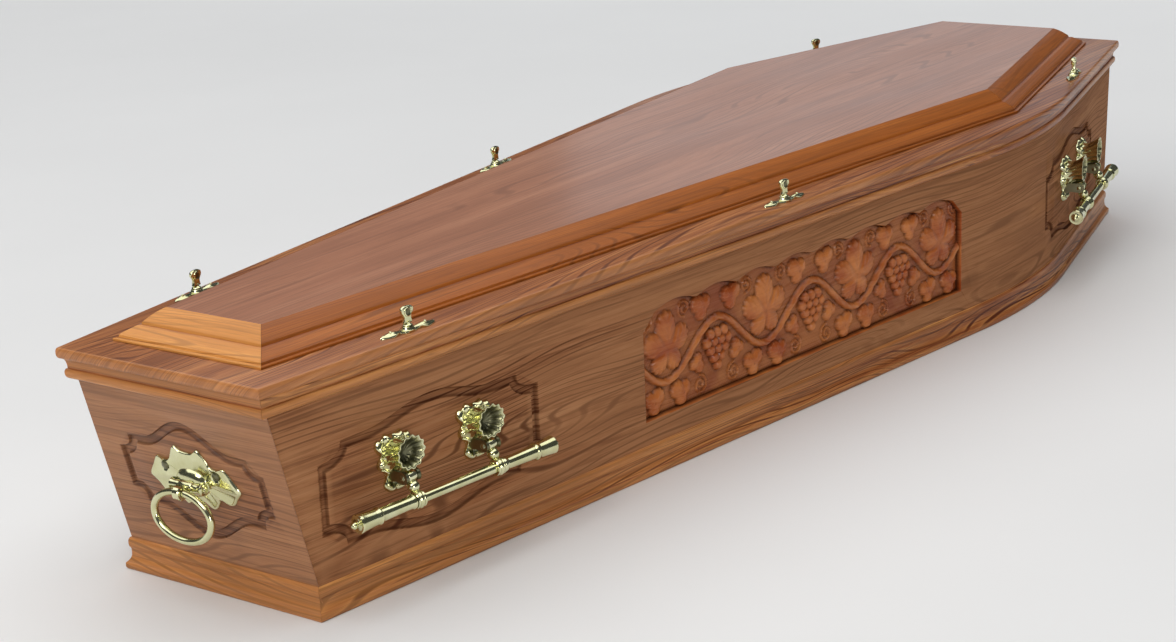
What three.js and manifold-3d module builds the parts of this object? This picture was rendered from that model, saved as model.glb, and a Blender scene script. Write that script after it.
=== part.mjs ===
// A wooden coffin with a shoulder bend on each side, a raised lid, routed and carved side boards,
// four swinging bar handles, a ring handle at each end and six thumbscrews that hold the lid.
// Millimetres, +Z up. The head end is at +X and the origin is under the middle of the box.

import * as THREE from 'three';
import { mergeVertices } from 'three/addons/utils/BufferGeometryUtils.js';
import Module from 'manifold-3d';

const wasm = await Module();
wasm.setup();

// Plan of the lid's edge, the widest outline
const LENGTH = 2030;
const FOOT_WIDTH = 319;
const SHOULDER_WIDTH = 655;
const HEAD_WIDTH = 355;
const SHOULDER_FROM_FOOT = 1472;
const SHOULDER_RADIUS = 850;
const BEND_STEPS = 6;

// Case
const CASE_HEIGHT = 276;
const WALL = 24;
const BASE_BOARD = 18;
const RIM_SETBACK = 12;
const SIDE_LEAN = 6;
const FOOT_LEAN = 65;
const HEAD_LEAN = 37;
const JOINT_GAP = 0.3;
const MITRE_GAP = 0.2;

// Base moulding, measured out from the wall's face at the moulding's top
const BASE_MOULDING_HEIGHT = 39;
const BASE_BEAD_OUT = 8;
const BASE_BEAD_HEIGHT = 9;
const BASE_COVE_OUT = 1.4;
const BASE_TOP_BEAD_OUT = 3.4;

// Rim moulding, measured in from the lid's edge
const RIM_MOULDING_HEIGHT = 24;
const RIM_COVE_DROP = 11.5;
const RIM_TOP_INSET = 4.5;
const RIM_COVE_INSET = 8.2;
const RIM_BAND_INSET = 5.2;

// Lid: a nosed board, a stepped moulding on it and a panel let into the moulding
const LID_BOARD = 14;
const LID_NOSE_ROUND = 4;
const LID_MOULDING_INSET = 48;
const LID_MOULDING_WIDTH = 47;
const LID_MOULDING_HEIGHT = 32.5;
const LID_STEP_RISE = 3;
const LID_STEP_TREAD = 5;
const LID_LOWER_FACE_WIDTH = 15;
const LID_LOWER_FACE_RISE = 11.5;
const LID_PANEL = 16;
const LID_PANEL_SEAT = 15;

// Routed frames in the side and end boards
const GROOVE_WIDTH = 12;
const GROOVE_DEPTH = 4;
const SIDE_FRAME_LENGTH = 328;
const SIDE_FRAME_HEIGHT = 112;
const SIDE_FRAME_SCOOP_LENGTH = 34;
const SIDE_FRAME_SCOOP_HEIGHT = 20;
const SIDE_FRAME_ARCH = 17;
const SIDE_FRAME_ARCH_LENGTH = 204;
const SIDE_FRAME_CENTRE = 135;
const END_FRAME_LENGTH = 216;
const END_FRAME_HEIGHT = 80;
const END_FRAME_SCOOP_LENGTH = 20;
const END_FRAME_SCOOP_HEIGHT = 18;
const END_FRAME_ARCH = 31;
const END_FRAME_ARCH_LENGTH = 144;
const END_FRAME_CENTRE = 144;

// Carved field in each side board: a vine with leaves and grapes, sunk below the face
const CARVING_FROM_FOOT = 937;
const CARVING_LENGTH = 676;
const CARVING_HEIGHT = 140;
const CARVING_CENTRE = 139;
const CARVING_DEPTH = 9;
const CARVING_SCALLOPS = 8;
const CARVING_SCALLOP_RISE = 8;
const CARVING_CORNER = 22;
const VINE_WAVES = 3.5;
const VINE_SWING = 30;
const VINE_THICKNESS = 9;
const LEAF_RADIUS = 50;
const LEAF_HEIGHT = 14;
const BUD_LEAF_RADIUS = 23;
const BUD_LEAF_HEIGHT = 51;
const BUD_LEAF_SPACING = 54;
const GRAPE_RADIUS = 13.5;
const BUNCH_HEIGHT = 2;
const BUNCH_ROWS = [2, 1];

// Bar handles, two on each side
const HANDLES_FROM_FOOT = [248, 1700];
const HANDLE_HEIGHT = 150;
const BRACKET_SPACING = 124;
const BRACKET_WIDTH = 54;
const BRACKET_HEIGHT = 70;
const BRACKET_THICKNESS = 4;
const HINGE_DROP = 12;
const HINGE_OUT = 27;
const HOOD_OUT = 33;
const HINGE_PIN_RADIUS = 2.8;
const EAR_THICKNESS = 4.5;
const EAR_RADIUS = 6.5;
const ARM_THICKNESS = 12;
const ARM_EYE_RADIUS = 7;
const BAR_DROP = 37.5;
const BAR_OUT = 38;
const BAR_LENGTH = 320;
const BAR_RADIUS = 6;
const SLEEVE_INNER_RADIUS = 8;
const SLEEVE_OUTER_RADIUS = 11;
const COLLAR_RADIUS = 10.5;
const TURNING_CLEARANCE = 0.4;

// Ring handle at each end
const RING_HEIGHT = 150;
const RING_PLATE_WIDTH = 142;
const RING_PLATE_HEIGHT = 78;
const RING_WIDTH = 90;
const RING_DROP = 58;
const RING_TUBE_RADIUS = 4.5;
const RING_PIVOT_DROP = 5;
const RING_PIVOT_OUT = 26;
const RING_EYE_WIDTH = 10;
const RING_EYE_WALL = 4;
const END_RING_BARREL_RADIUS = 7;
const END_RING_BARREL_LENGTH = 52;

// Lid screws, three on each side
const SCREWS_FROM_FOOT = [228, 886, 1738];
const SCREW_INSET = 18;
const SCREW_PLATE_LENGTH = 84;
const SCREW_PLATE_WIDTH = 14;
const SCREW_PLATE_THICKNESS = 4;
const SCREW_BOSS_RADIUS = 8;
const SCREW_BOSS_HEIGHT = 6;
const SCREW_RADIUS = 3;
const SCREW_DEPTH = 20;
const THUMB_HEIGHT = 20;
const THUMB_WIDTH = 18;
const THUMB_THICKNESS = 5;
const THUMB_HOLE_RADIUS = 3;

// Sides of the round pieces and steps in the curves
const ROUND_SIDES = 8;
const SMALL_ROUND_SIDES = 6;
const RING_STEPS = 16;
const RING_TUBE_SIDES = 5;
const COVE_STEPS = 3;
const SCOOP_STEPS = 2;
const ARCH_STEPS = 3;
const SCALLOP_STEPS = 3;
const VINE_STEPS = 4;

const LID_UNDERSIDE = CASE_HEIGHT + JOINT_GAP;
const LEDGE = LID_UNDERSIDE + LID_BOARD;
const LID_TOP = LEDGE + LID_MOULDING_HEIGHT;
const FOOT_X = -LENGTH / 2;
const HEAD_X = LENGTH / 2;
const SHOULDER_X = FOOT_X + SHOULDER_FROM_FOOT;

const UP = new THREE.Vector3(0, 0, 1);

const finish = {
  board: new THREE.MeshStandardMaterial({ color: 0x8c6446, roughness: 0.35, metalness: 0 }),
  moulding: new THREE.MeshStandardMaterial({ color: 0xa96432, roughness: 0.3, metalness: 0 }),
  lid: new THREE.MeshStandardMaterial({ color: 0xa5765c, roughness: 0.25, metalness: 0 }),
  brass: new THREE.MeshStandardMaterial({ color: 0xc8c690, roughness: 0.15, metalness: 1 }),
};

const coffin = new THREE.Group();

function addMesh(name, geometry, material, parent = coffin) {
  const mesh = new THREE.Mesh(geometry, material);
  mesh.name = name;
  parent.add(mesh);
  return mesh;
}

// Solids for cutting and joining

function toSolid(geometry) {
  const plain = geometry.clone();
  plain.deleteAttribute('normal');
  plain.deleteAttribute('uv');
  const merged = mergeVertices(plain, 1e-3);
  return new wasm.Manifold(new wasm.Mesh({
    numProp: 3,
    vertProperties: new Float32Array(merged.attributes.position.array),
    triVerts: new Uint32Array(merged.index.array),
  }));
}

function toGeometry(solid) {
  const mesh = solid.getMesh();
  const geometry = new THREE.BufferGeometry();
  geometry.setAttribute('position', new THREE.BufferAttribute(mesh.vertProperties, 3));
  geometry.setIndex(new THREE.BufferAttribute(mesh.triVerts, 1));
  return geometry;
}

// The radius of a hole whose flats clear a round piece
function holeRadius(radius, sides) {
  return (radius + TURNING_CLEARANCE) / Math.cos(Math.PI / sides);
}

function joined(geometries) {
  return toGeometry(geometries.map(toSolid).reduce((whole, next) => whole.add(next)));
}

function cut(geometry, cutters) {
  const whole = toSolid(geometry);
  return toGeometry(cutters.map(toSolid).reduce((left, cutter) => left.subtract(cutter), whole));
}

// Bodies through rows of points

function facingOut(geometry) {
  const { position } = geometry.attributes;
  const index = geometry.index.array;
  const corner = (i) => new THREE.Vector3().fromBufferAttribute(position, index[i]);
  let volume = 0;
  for (let i = 0; i < index.length; i += 3) {
    volume += corner(i).dot(corner(i + 1).cross(corner(i + 2)));
  }
  if (volume < 0) {
    for (let i = 0; i < index.length; i += 3) {
      [index[i + 1], index[i + 2]] = [index[i + 2], index[i + 1]];
    }
  }
  return geometry;
}

function capTriangles(outline) {
  const turn = Math.sign(THREE.ShapeUtils.area(outline));
  return THREE.ShapeUtils.triangulateShape([...outline], []).map((triangle) => {
    const same = Math.sign(THREE.ShapeUtils.area(triangle.map((i) => outline[i]))) === turn;
    return same ? triangle : [...triangle].reverse();
  });
}

// One closed body through equal sections. An outline caps both ends; without one the sections form a loop.
function bodyThroughSections(sections, capOutline = null) {
  const count = sections[0].length;
  const indices = [];
  const rows = capOutline ? sections.length - 1 : sections.length;
  for (let row = 0; row < rows; row += 1) {
    const next = (row + 1) % sections.length;
    for (let i = 0; i < count; i += 1) {
      const j = (i + 1) % count;
      const [a, b, c, d] = [row * count + i, row * count + j, next * count + i, next * count + j];
      indices.push(a, b, d, a, d, c);
    }
  }
  if (capOutline) {
    const last = (sections.length - 1) * count;
    for (const [a, b, c] of capTriangles(capOutline)) {
      indices.push(c, b, a, last + a, last + b, last + c);
    }
  }
  const geometry = new THREE.BufferGeometry().setFromPoints(sections.flat());
  geometry.setIndex(new THREE.BufferAttribute(new Uint32Array(indices), 1));
  return facingOut(geometry);
}

function arcPoints(centreX, centreY, radius, from, to, steps) {
  return Array.from({ length: steps + 1 }, (_, i) => {
    const angle = from + (to - from) * (i / steps);
    return new THREE.Vector2(centreX + radius * Math.cos(angle), centreY + radius * Math.sin(angle));
  });
}

// The coffin's outlines. A level is an outline's distance in from the lid's edge along the sides, the
// foot and the head, with its height.

const LONG_ANGLE = Math.atan((SHOULDER_WIDTH - FOOT_WIDTH) / 2 / SHOULDER_FROM_FOOT);
const SHORT_ANGLE = Math.atan((SHOULDER_WIDTH - HEAD_WIDTH) / 2 / (LENGTH - SHOULDER_FROM_FOOT));
const BEND_ANGLE = LONG_ANGLE + SHORT_ANGLE;
const BEND_MIDDLE = (SHORT_ANGLE - LONG_ANGLE) / 2;

function lidLevel(inset, z) {
  return { side: inset, foot: inset, head: inset, z };
}

function wallLevel(z, depth = 0) {
  const down = 1 - z / CASE_HEIGHT;
  return {
    side: RIM_SETBACK + SIDE_LEAN * down + depth,
    foot: RIM_SETBACK + FOOT_LEAN * down + depth,
    head: RIM_SETBACK + HEAD_LEAN * down + depth,
    z,
  };
}

// Corners of the left half of an outline, the half at -Y
function corners({ side, foot, head, z }) {
  const footHalf = FOOT_WIDTH / 2 + Math.tan(LONG_ANGLE) * foot - side / Math.cos(LONG_ANGLE);
  const headHalf = HEAD_WIDTH / 2 + Math.tan(SHORT_ANGLE) * head - side / Math.cos(SHORT_ANGLE);
  const shift = side * (1 / Math.cos(LONG_ANGLE) - 1 / Math.cos(SHORT_ANGLE))
    / (Math.tan(LONG_ANGLE) + Math.tan(SHORT_ANGLE));
  const shoulderHalf = SHOULDER_WIDTH / 2 + Math.tan(LONG_ANGLE) * shift - side / Math.cos(LONG_ANGLE);
  return {
    foot: new THREE.Vector3(FOOT_X + foot, -footHalf, z),
    shoulder: new THREE.Vector3(SHOULDER_X + shift, -shoulderHalf, z),
    head: new THREE.Vector3(HEAD_X - head, -headHalf, z),
  };
}

// The bend that rounds an outline's left shoulder
function bend(level) {
  const { shoulder } = corners(level);
  const radius = SHOULDER_RADIUS - level.side;
  const reach = radius / Math.cos(BEND_ANGLE / 2);
  const centre = new THREE.Vector3(-Math.sin(BEND_MIDDLE), Math.cos(BEND_MIDDLE), 0)
    .multiplyScalar(reach);
  return { centre: centre.add(shoulder), radius };
}

function bendPoint({ centre, radius }, angle) {
  return new THREE.Vector3(radius * Math.sin(angle), -radius * Math.cos(angle), 0).add(centre);
}

// Points along the left side from the foot to the head, kept short of the mitres by a gap
function sideStations(level, gap = MITRE_GAP) {
  const { foot, head } = corners(level);
  const curve = bend(level);
  const bent = Array.from({ length: BEND_STEPS + 1 }, (_, i) =>
    bendPoint(curve, -LONG_ANGLE + BEND_ANGLE * (i / BEND_STEPS)));
  foot.x += gap;
  head.x -= gap;
  return [foot, ...bent, head];
}

const mirrored = (points) => points.map(({ x, y, z }) => new THREE.Vector3(x, -y, z));

function acrossStations(corner) {
  corner.y += MITRE_GAP;
  return [...mirrored([corner]), corner];
}

const footStations = (level) => acrossStations(corners(level).foot);
const headStations = (level) => acrossStations(corners(level).head);

function longStations(level) {
  const { foot, shoulder } = corners(level);
  foot.x += MITRE_GAP;
  shoulder.x -= MITRE_GAP;
  return [foot, shoulder];
}

function shortStations(level) {
  const { shoulder, head } = corners(level);
  shoulder.x += MITRE_GAP;
  head.x -= MITRE_GAP;
  return [shoulder, head];
}

// One length of board or moulding: a profile of levels, swept through the stations of each level
function runGeometry(profile, stationsOf) {
  const rows = profile.map((level) => stationsOf(level));
  const sections = rows[0].map((_, station) => rows.map((row) => row[station]));
  return bodyThroughSections(sections, profile.map(({ side, z }) => new THREE.Vector2(side, z)));
}

const onRight = (stationsOf) => (level) => mirrored(stationsOf(level));

// A whole slab, made of closed rings from the bottom up
function slabGeometry(levels) {
  const rings = levels.map((level) => {
    const left = sideStations(level, 0);
    return [...left, ...mirrored(left).reverse()];
  });
  return bodyThroughSections(rings, rings[0].map(({ x, y }) => new THREE.Vector2(x, y)));
}

// Places on the walls. Distance runs from the middle of the shoulder's bend towards the head.

function wallDistance(fromFoot, z) {
  const { centre, radius } = bend(wallLevel(z));
  const x = FOOT_X + fromFoot - centre.x;
  const bendStart = -radius * Math.sin(LONG_ANGLE);
  const bendEnd = radius * Math.sin(SHORT_ANGLE);
  if (x < bendStart) {
    return (x - bendStart) / Math.cos(LONG_ANGLE) - radius * BEND_ANGLE / 2;
  }
  if (x > bendEnd) {
    return (x - bendEnd) / Math.cos(SHORT_ANGLE) + radius * BEND_ANGLE / 2;
  }
  return radius * (Math.asin(x / radius) - BEND_MIDDLE);
}

// A frame on a wall's outer face: X along the wall, Y up it and Z out of it
function wallFrame(position, outward, lean) {
  const normal = outward.clone().addScaledVector(UP, -lean / CASE_HEIGHT).normalize();
  const along = new THREE.Vector3().crossVectors(UP, outward);
  const up = new THREE.Vector3().crossVectors(normal, along);
  return new THREE.Matrix4().makeBasis(along, up, normal).setPosition(position);
}

function sideFrame(hand, distance, z) {
  const curve = bend(wallLevel(z));
  const turn = THREE.MathUtils.clamp(distance / curve.radius, -BEND_ANGLE / 2, BEND_ANGLE / 2);
  const straight = distance - turn * curve.radius;
  const angle = BEND_MIDDLE + turn;
  const position = bendPoint(curve, angle);
  position.x += straight * Math.cos(angle);
  position.y = hand * (Math.abs(position.y) - straight * Math.sin(angle));
  const outward = new THREE.Vector3(Math.sin(angle), hand * Math.cos(angle), 0);
  return wallFrame(position, outward, SIDE_LEAN);
}

function endFrame(end, z) {
  const level = wallLevel(z);
  return end === 'head'
    ? wallFrame(new THREE.Vector3(HEAD_X - level.head, 0, z), new THREE.Vector3(1, 0, 0), HEAD_LEAN)
    : wallFrame(new THREE.Vector3(FOOT_X + level.foot, 0, z), new THREE.Vector3(-1, 0, 0), FOOT_LEAN);
}

// A flat shape's point lifted onto a wall: x along, y up and out of the face, from a centre on that wall
function sidePlace(hand, fromFoot, centreZ) {
  const centre = wallDistance(fromFoot, centreZ);
  return (x, y, out) =>
    new THREE.Vector3(0, 0, out).applyMatrix4(sideFrame(hand, centre - hand * x, centreZ + y));
}

function endPlace(end, centreZ) {
  const frame = endFrame(end, centreZ);
  return (x, y, out) => new THREE.Vector3(x, y, out).applyMatrix4(frame);
}

// Routed frames: straight sides, scooped corners and an arch above and below

function routedOutline({ length, height, scoopLength, scoopHeight, arch, archLength }) {
  const [a, b] = [length / 2, height / 2];
  const corner = arcPoints(0, 0, 1, 1.5 * Math.PI, Math.PI, SCOOP_STEPS)
    .map(({ x, y }) => new THREE.Vector2(a + x * scoopLength, b + y * scoopHeight));
  const crown = Array.from({ length: ARCH_STEPS }, (_, i) => {
    const x = (archLength / 2) * (1 - i / ARCH_STEPS);
    return new THREE.Vector2(x, b + arch * (1 + Math.cos((2 * Math.PI * x) / archLength)) / 2);
  });
  const quarter = [...corner, ...crown];
  const flipped = (sx, sy) => quarter.map(({ x, y }) => new THREE.Vector2(sx * x, sy * y));
  const top = new THREE.Vector2(0, b + arch);
  return [
    ...quarter, top, ...flipped(-1, 1).reverse(),
    ...flipped(-1, -1), new THREE.Vector2(0, -b - arch), ...flipped(1, -1).reverse(),
  ];
}

// A V-shaped cutter along a closed outline, laid on a wall by place
function grooveCutter(outline, place) {
  const lift = 1;
  const reach = (GROOVE_WIDTH / 2) * (1 + lift / GROOVE_DEPTH);
  const sections = outline.map((point, i) => {
    const before = outline.at(i - 1);
    const after = outline[(i + 1) % outline.length];
    const inward = point.clone().sub(before).normalize();
    const onward = after.clone().sub(point).normalize();
    const across = inward.add(onward).normalize();
    const side = new THREE.Vector2(across.y, -across.x).divideScalar(Math.max(across.dot(onward), 0.5));
    const edge = (share, out) => place(point.x + side.x * share, point.y + side.y * share, out);
    return [edge(-reach, lift), edge(0, -GROOVE_DEPTH), edge(reach, lift)];
  });
  return bodyThroughSections(sections);
}

const sideRouting = routedOutline({
  length: SIDE_FRAME_LENGTH, height: SIDE_FRAME_HEIGHT,
  scoopLength: SIDE_FRAME_SCOOP_LENGTH, scoopHeight: SIDE_FRAME_SCOOP_HEIGHT,
  arch: SIDE_FRAME_ARCH, archLength: SIDE_FRAME_ARCH_LENGTH,
});
const endRouting = routedOutline({
  length: END_FRAME_LENGTH, height: END_FRAME_HEIGHT,
  scoopLength: END_FRAME_SCOOP_LENGTH, scoopHeight: END_FRAME_SCOOP_HEIGHT,
  arch: END_FRAME_ARCH, archLength: END_FRAME_ARCH_LENGTH,
});

// The carving, in a frame on the wall with its floor at -CARVING_DEPTH

const CARVING_FLOOR = -CARVING_DEPTH;
const CARVING_CREST = -0.5;
const LEAF_EDGE = 0.45;

function fieldOutline() {
  const [a, b] = [CARVING_LENGTH / 2, CARVING_HEIGHT / 2];
  const lobe = (CARVING_LENGTH - 2 * CARVING_CORNER) / CARVING_SCALLOPS;
  const steps = CARVING_SCALLOPS * SCALLOP_STEPS;
  const scallops = Array.from({ length: steps + 1 }, (_, i) => {
    const x = a - CARVING_CORNER - (lobe * i) / SCALLOP_STEPS;
    const rise = Math.abs(Math.sin((Math.PI * i) / SCALLOP_STEPS));
    return new THREE.Vector2(x, b + CARVING_SCALLOP_RISE * rise);
  });
  const right = new THREE.Vector2(a, b - CARVING_CORNER);
  const left = new THREE.Vector2(-a, b - CARVING_CORNER);
  return [new THREE.Vector2(-a, -b), new THREE.Vector2(a, -b), right, ...scallops, left];
}

function vineHeight(x) {
  return VINE_SWING * Math.cos((2 * Math.PI * VINE_WAVES * x) / CARVING_LENGTH);
}

// A ridge along the wave, with its foot below the floor
function vineGeometry() {
  const steps = 2 * VINE_WAVES * VINE_STEPS;
  const reach = (CARVING_LENGTH - VINE_THICKNESS) / 2;
  const sections = Array.from({ length: steps + 1 }, (_, i) => {
    const x = reach * ((2 * i) / steps - 1);
    const y = vineHeight(x);
    const across = new THREE.Vector2(vineHeight(x - 1) - vineHeight(x + 1), 2)
      .setLength(VINE_THICKNESS / 2);
    return [
      new THREE.Vector3(x - across.x, y - across.y, CARVING_FLOOR - 1),
      new THREE.Vector3(x + across.x, y + across.y, CARVING_FLOOR - 1),
      new THREE.Vector3(x, y, CARVING_CREST - 1),
    ];
  });
  return bodyThroughSections(sections, sections[0].map(({ y, z }) => new THREE.Vector2(y, z)));
}

// A lobed leaf with a raised middle. Its edge stands up from the floor by a share of the depth.
function leafGeometry(x, y, radius, turn, lobes, edge) {
  const section = (share, z) => Array.from({ length: 2 * lobes }, (_, i) => {
    const angle = (Math.PI * i) / lobes;
    const reach = radius * share * (i % 2 ? 0.62 : 1) * (0.85 + 0.15 * Math.cos(angle));
    return new THREE.Vector3(x + reach * Math.cos(angle + turn), y + reach * Math.sin(angle + turn), z);
  });
  const rim = edge ? [section(1, CARVING_FLOOR + edge * CARVING_DEPTH)] : [];
  const sections = [section(1, CARVING_FLOOR - 1), ...rim, section(0.35, CARVING_CREST)];
  return bodyThroughSections(sections, sections[0].map((p) => new THREE.Vector2(p.x, p.y)));
}

function bunchGeometries(x, y) {
  return BUNCH_ROWS.flatMap((count, row) => Array.from({ length: count }, (_, i) => {
    const across = (i - (count - 1) / 2) * 1.9 * GRAPE_RADIUS;
    return new THREE.IcosahedronGeometry(GRAPE_RADIUS, 0)
      .translate(x + across, y - row * 1.7 * GRAPE_RADIUS, CARVING_CREST - GRAPE_RADIUS * 0.9);
  }));
}

// Each crest of the vine holds a bunch below it and each trough a leaf above it, with two buds beyond
function vineForms() {
  const half = CARVING_LENGTH / (2 * VINE_WAVES);
  const last = VINE_WAVES - 0.5;
  const forms = [vineGeometry()];
  for (let i = -last; i <= last; i += 1) {
    const x = i * half;
    const rise = Math.sign(vineHeight(x));
    forms.push(...(rise > 0
      ? bunchGeometries(x, BUNCH_HEIGHT)
      : [leafGeometry(x, LEAF_HEIGHT, LEAF_RADIUS, Math.PI / 2, 5, LEAF_EDGE)]));
    for (const way of [-1, 1]) {
      const turn = Math.PI / 2 - way * rise;
      const budX = x + way * BUD_LEAF_SPACING / 2;
      forms.push(leafGeometry(budX, rise * BUD_LEAF_HEIGHT, BUD_LEAF_RADIUS, turn, 3, 0));
    }
  }
  return forms;
}

function carvingCutter() {
  const field = new THREE.ExtrudeGeometry(new THREE.Shape(fieldOutline()), {
    depth: CARVING_DEPTH + 1, bevelEnabled: false,
  });
  field.translate(0, 0, CARVING_FLOOR);
  return cut(field, vineForms());
}

const carving = carvingCutter();

// Boards

function bore(x, y, topZ, depth) {
  const radius = holeRadius(SCREW_RADIUS, SMALL_ROUND_SIDES);
  return new THREE.CylinderGeometry(radius, radius, depth, SMALL_ROUND_SIDES)
    .rotateX(Math.PI / 2)
    .translate(x, y, topZ - depth / 2);
}

function screwPlace(hand, fromFoot) {
  const { foot, head } = corners(lidLevel(SCREW_INSET, LEDGE));
  const x = FOOT_X + fromFoot;
  return fromFoot < SHOULDER_FROM_FOOT
    ? { x, y: hand * (Math.abs(foot.y) + Math.tan(LONG_ANGLE) * (x - foot.x)), turn: hand * LONG_ANGLE }
    : { x, y: hand * (Math.abs(head.y) + Math.tan(SHORT_ANGLE) * (head.x - x)), turn: -hand * SHORT_ANGLE };
}

const SHAFT_BELOW_LEDGE = LID_BOARD + JOINT_GAP + SCREW_DEPTH;
const screws = [['left', -1], ['right', 1]].flatMap(([side, hand]) =>
  SCREWS_FROM_FOOT.map((fromFoot, i) => ({
    name: `${side}_${['foot', 'middle', 'head'][i]}`, hand, ...screwPlace(hand, fromFoot),
  })));
const screwBores = (hand, depth) => screws
  .filter((screw) => !hand || screw.hand === hand)
  .map(({ x, y }) => bore(x, y, LEDGE + 1, depth + 2));

const boardProfile = [
  wallLevel(BASE_BOARD + JOINT_GAP),
  wallLevel(CASE_HEIGHT),
  wallLevel(CASE_HEIGHT, WALL),
  wallLevel(BASE_BOARD + JOINT_GAP, WALL),
];

function sideBoard(hand) {
  const plain = runGeometry(boardProfile, hand < 0 ? sideStations : onRight(sideStations));
  const grooves = HANDLES_FROM_FOOT.map((fromFoot) =>
    grooveCutter(sideRouting, sidePlace(hand, fromFoot, SIDE_FRAME_CENTRE)));
  const distance = wallDistance(CARVING_FROM_FOOT, CARVING_CENTRE);
  const field = carving.clone().applyMatrix4(sideFrame(hand, distance, CARVING_CENTRE));
  return cut(plain, [...grooves, field, ...screwBores(hand, SHAFT_BELOW_LEDGE)]);
}

function endBoard(end) {
  const plain = runGeometry(boardProfile, end === 'head' ? headStations : footStations);
  return cut(plain, [grooveCutter(endRouting, endPlace(end, END_FRAME_CENTRE))]);
}

addMesh('base_board', slabGeometry([wallLevel(0), wallLevel(BASE_BOARD)]), finish.board);
addMesh('side_board_left', sideBoard(-1), finish.board);
addMesh('side_board_right', sideBoard(1), finish.board);
addMesh('foot_board', endBoard('foot'), finish.board);
addMesh('head_board', endBoard('head'), finish.board);

// Case mouldings

function baseLevel(out, z) {
  return { ...wallLevel(BASE_MOULDING_HEIGHT, -out), z };
}

function baseMouldingProfile() {
  const topBead = BASE_MOULDING_HEIGHT - BASE_BEAD_HEIGHT;
  const coveBottom = BASE_BEAD_HEIGHT + 4;
  return [
    baseLevel(BASE_BEAD_OUT - 2, 0),
    baseLevel(BASE_BEAD_OUT, BASE_BEAD_HEIGHT * 0.3),
    baseLevel(BASE_BEAD_OUT, BASE_BEAD_HEIGHT * 0.7),
    baseLevel(BASE_BEAD_OUT - 2, BASE_BEAD_HEIGHT),
    baseLevel(BASE_COVE_OUT + 1.6, coveBottom),
    baseLevel(BASE_COVE_OUT, (coveBottom + topBead) / 2),
    baseLevel(BASE_TOP_BEAD_OUT, topBead),
    baseLevel(BASE_TOP_BEAD_OUT, BASE_MOULDING_HEIGHT - 3),
    wallLevel(BASE_MOULDING_HEIGHT, -JOINT_GAP - 1),
    wallLevel(BASE_MOULDING_HEIGHT, -JOINT_GAP),
    wallLevel(0, -JOINT_GAP),
  ];
}

function rimMouldingProfile() {
  const top = CASE_HEIGHT;
  const bandTop = top - RIM_COVE_DROP;
  const bottom = top - RIM_MOULDING_HEIGHT;
  const cove = Array.from({ length: COVE_STEPS + 1 }, (_, i) => {
    const angle = (Math.PI / 2) * (i / COVE_STEPS);
    const inset = RIM_TOP_INSET + (RIM_COVE_INSET - RIM_TOP_INSET) * Math.sin(angle);
    return lidLevel(inset, top - RIM_COVE_DROP * (1 - Math.cos(angle)));
  });
  return [
    wallLevel(bottom, -JOINT_GAP),
    wallLevel(top, -JOINT_GAP),
    ...cove,
    lidLevel(RIM_BAND_INSET + 1, bandTop - 1),
    lidLevel(RIM_BAND_INSET, (bandTop + bottom) / 2 + 1),
    lidLevel(RIM_BAND_INSET + 1.5, bottom + 2),
    lidLevel(RIM_BAND_INSET + 4, bottom),
  ];
}

const runs = {
  foot: footStations,
  head: headStations,
  left: sideStations,
  right: onRight(sideStations),
};
for (const [where, stationsOf] of Object.entries(runs)) {
  addMesh(`base_moulding_${where}`, runGeometry(baseMouldingProfile(), stationsOf), finish.moulding);
  addMesh(`rim_moulding_${where}`, runGeometry(rimMouldingProfile(), stationsOf), finish.moulding);
}

// Lid

function lidBoard() {
  const round = LID_NOSE_ROUND;
  const plain = slabGeometry([
    lidLevel(round, LID_UNDERSIDE),
    lidLevel(round * 0.3, LID_UNDERSIDE + round * 0.3),
    lidLevel(0, LID_UNDERSIDE + round),
    lidLevel(0, LEDGE - round),
    lidLevel(round * 0.3, LEDGE - round * 0.3),
    lidLevel(round, LEDGE),
  ]);
  return cut(plain, screwBores(0, LID_BOARD + 2));
}

const LID_PANEL_INSET = LID_MOULDING_INSET + LID_MOULDING_WIDTH;

function lidMouldingProfile() {
  const foot = LID_MOULDING_INSET;
  const lowerInset = foot + LID_STEP_TREAD;
  const upperInset = lowerInset + LID_LOWER_FACE_WIDTH + LID_STEP_TREAD;
  const bottom = LEDGE + JOINT_GAP;
  const lowerStep = LEDGE + LID_STEP_RISE;
  const upperStep = lowerStep + LID_LOWER_FACE_RISE + LID_STEP_RISE / 2;
  const seat = LID_TOP - LID_PANEL;
  return [
    lidLevel(foot, bottom),
    lidLevel(foot, lowerStep),
    lidLevel(lowerInset, lowerStep + 0.5),
    lidLevel(lowerInset + 1, lowerStep + LID_STEP_RISE),
    lidLevel(lowerInset + LID_LOWER_FACE_WIDTH * 0.55, lowerStep + LID_LOWER_FACE_RISE * 0.62),
    lidLevel(lowerInset + LID_LOWER_FACE_WIDTH, lowerStep + LID_LOWER_FACE_RISE),
    lidLevel(upperInset, upperStep - 1),
    lidLevel(upperInset + 1, upperStep + LID_STEP_RISE - 1),
    lidLevel(LID_PANEL_INSET, LID_TOP),
    lidLevel(LID_PANEL_INSET, seat),
    lidLevel(LID_PANEL_INSET + LID_PANEL_SEAT, seat),
    lidLevel(LID_PANEL_INSET + LID_PANEL_SEAT, bottom),
  ];
}

function lidPanel() {
  const ring = (z) => {
    const { foot, shoulder, head } = corners(lidLevel(LID_PANEL_INSET + JOINT_GAP, z));
    return [foot, shoulder, head, ...mirrored([head, shoulder, foot])];
  };
  const rings = [ring(LID_TOP - LID_PANEL + JOINT_GAP), ring(LID_TOP)];
  return bodyThroughSections(rings, rings[0].map(({ x, y }) => new THREE.Vector2(x, y)));
}

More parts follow.
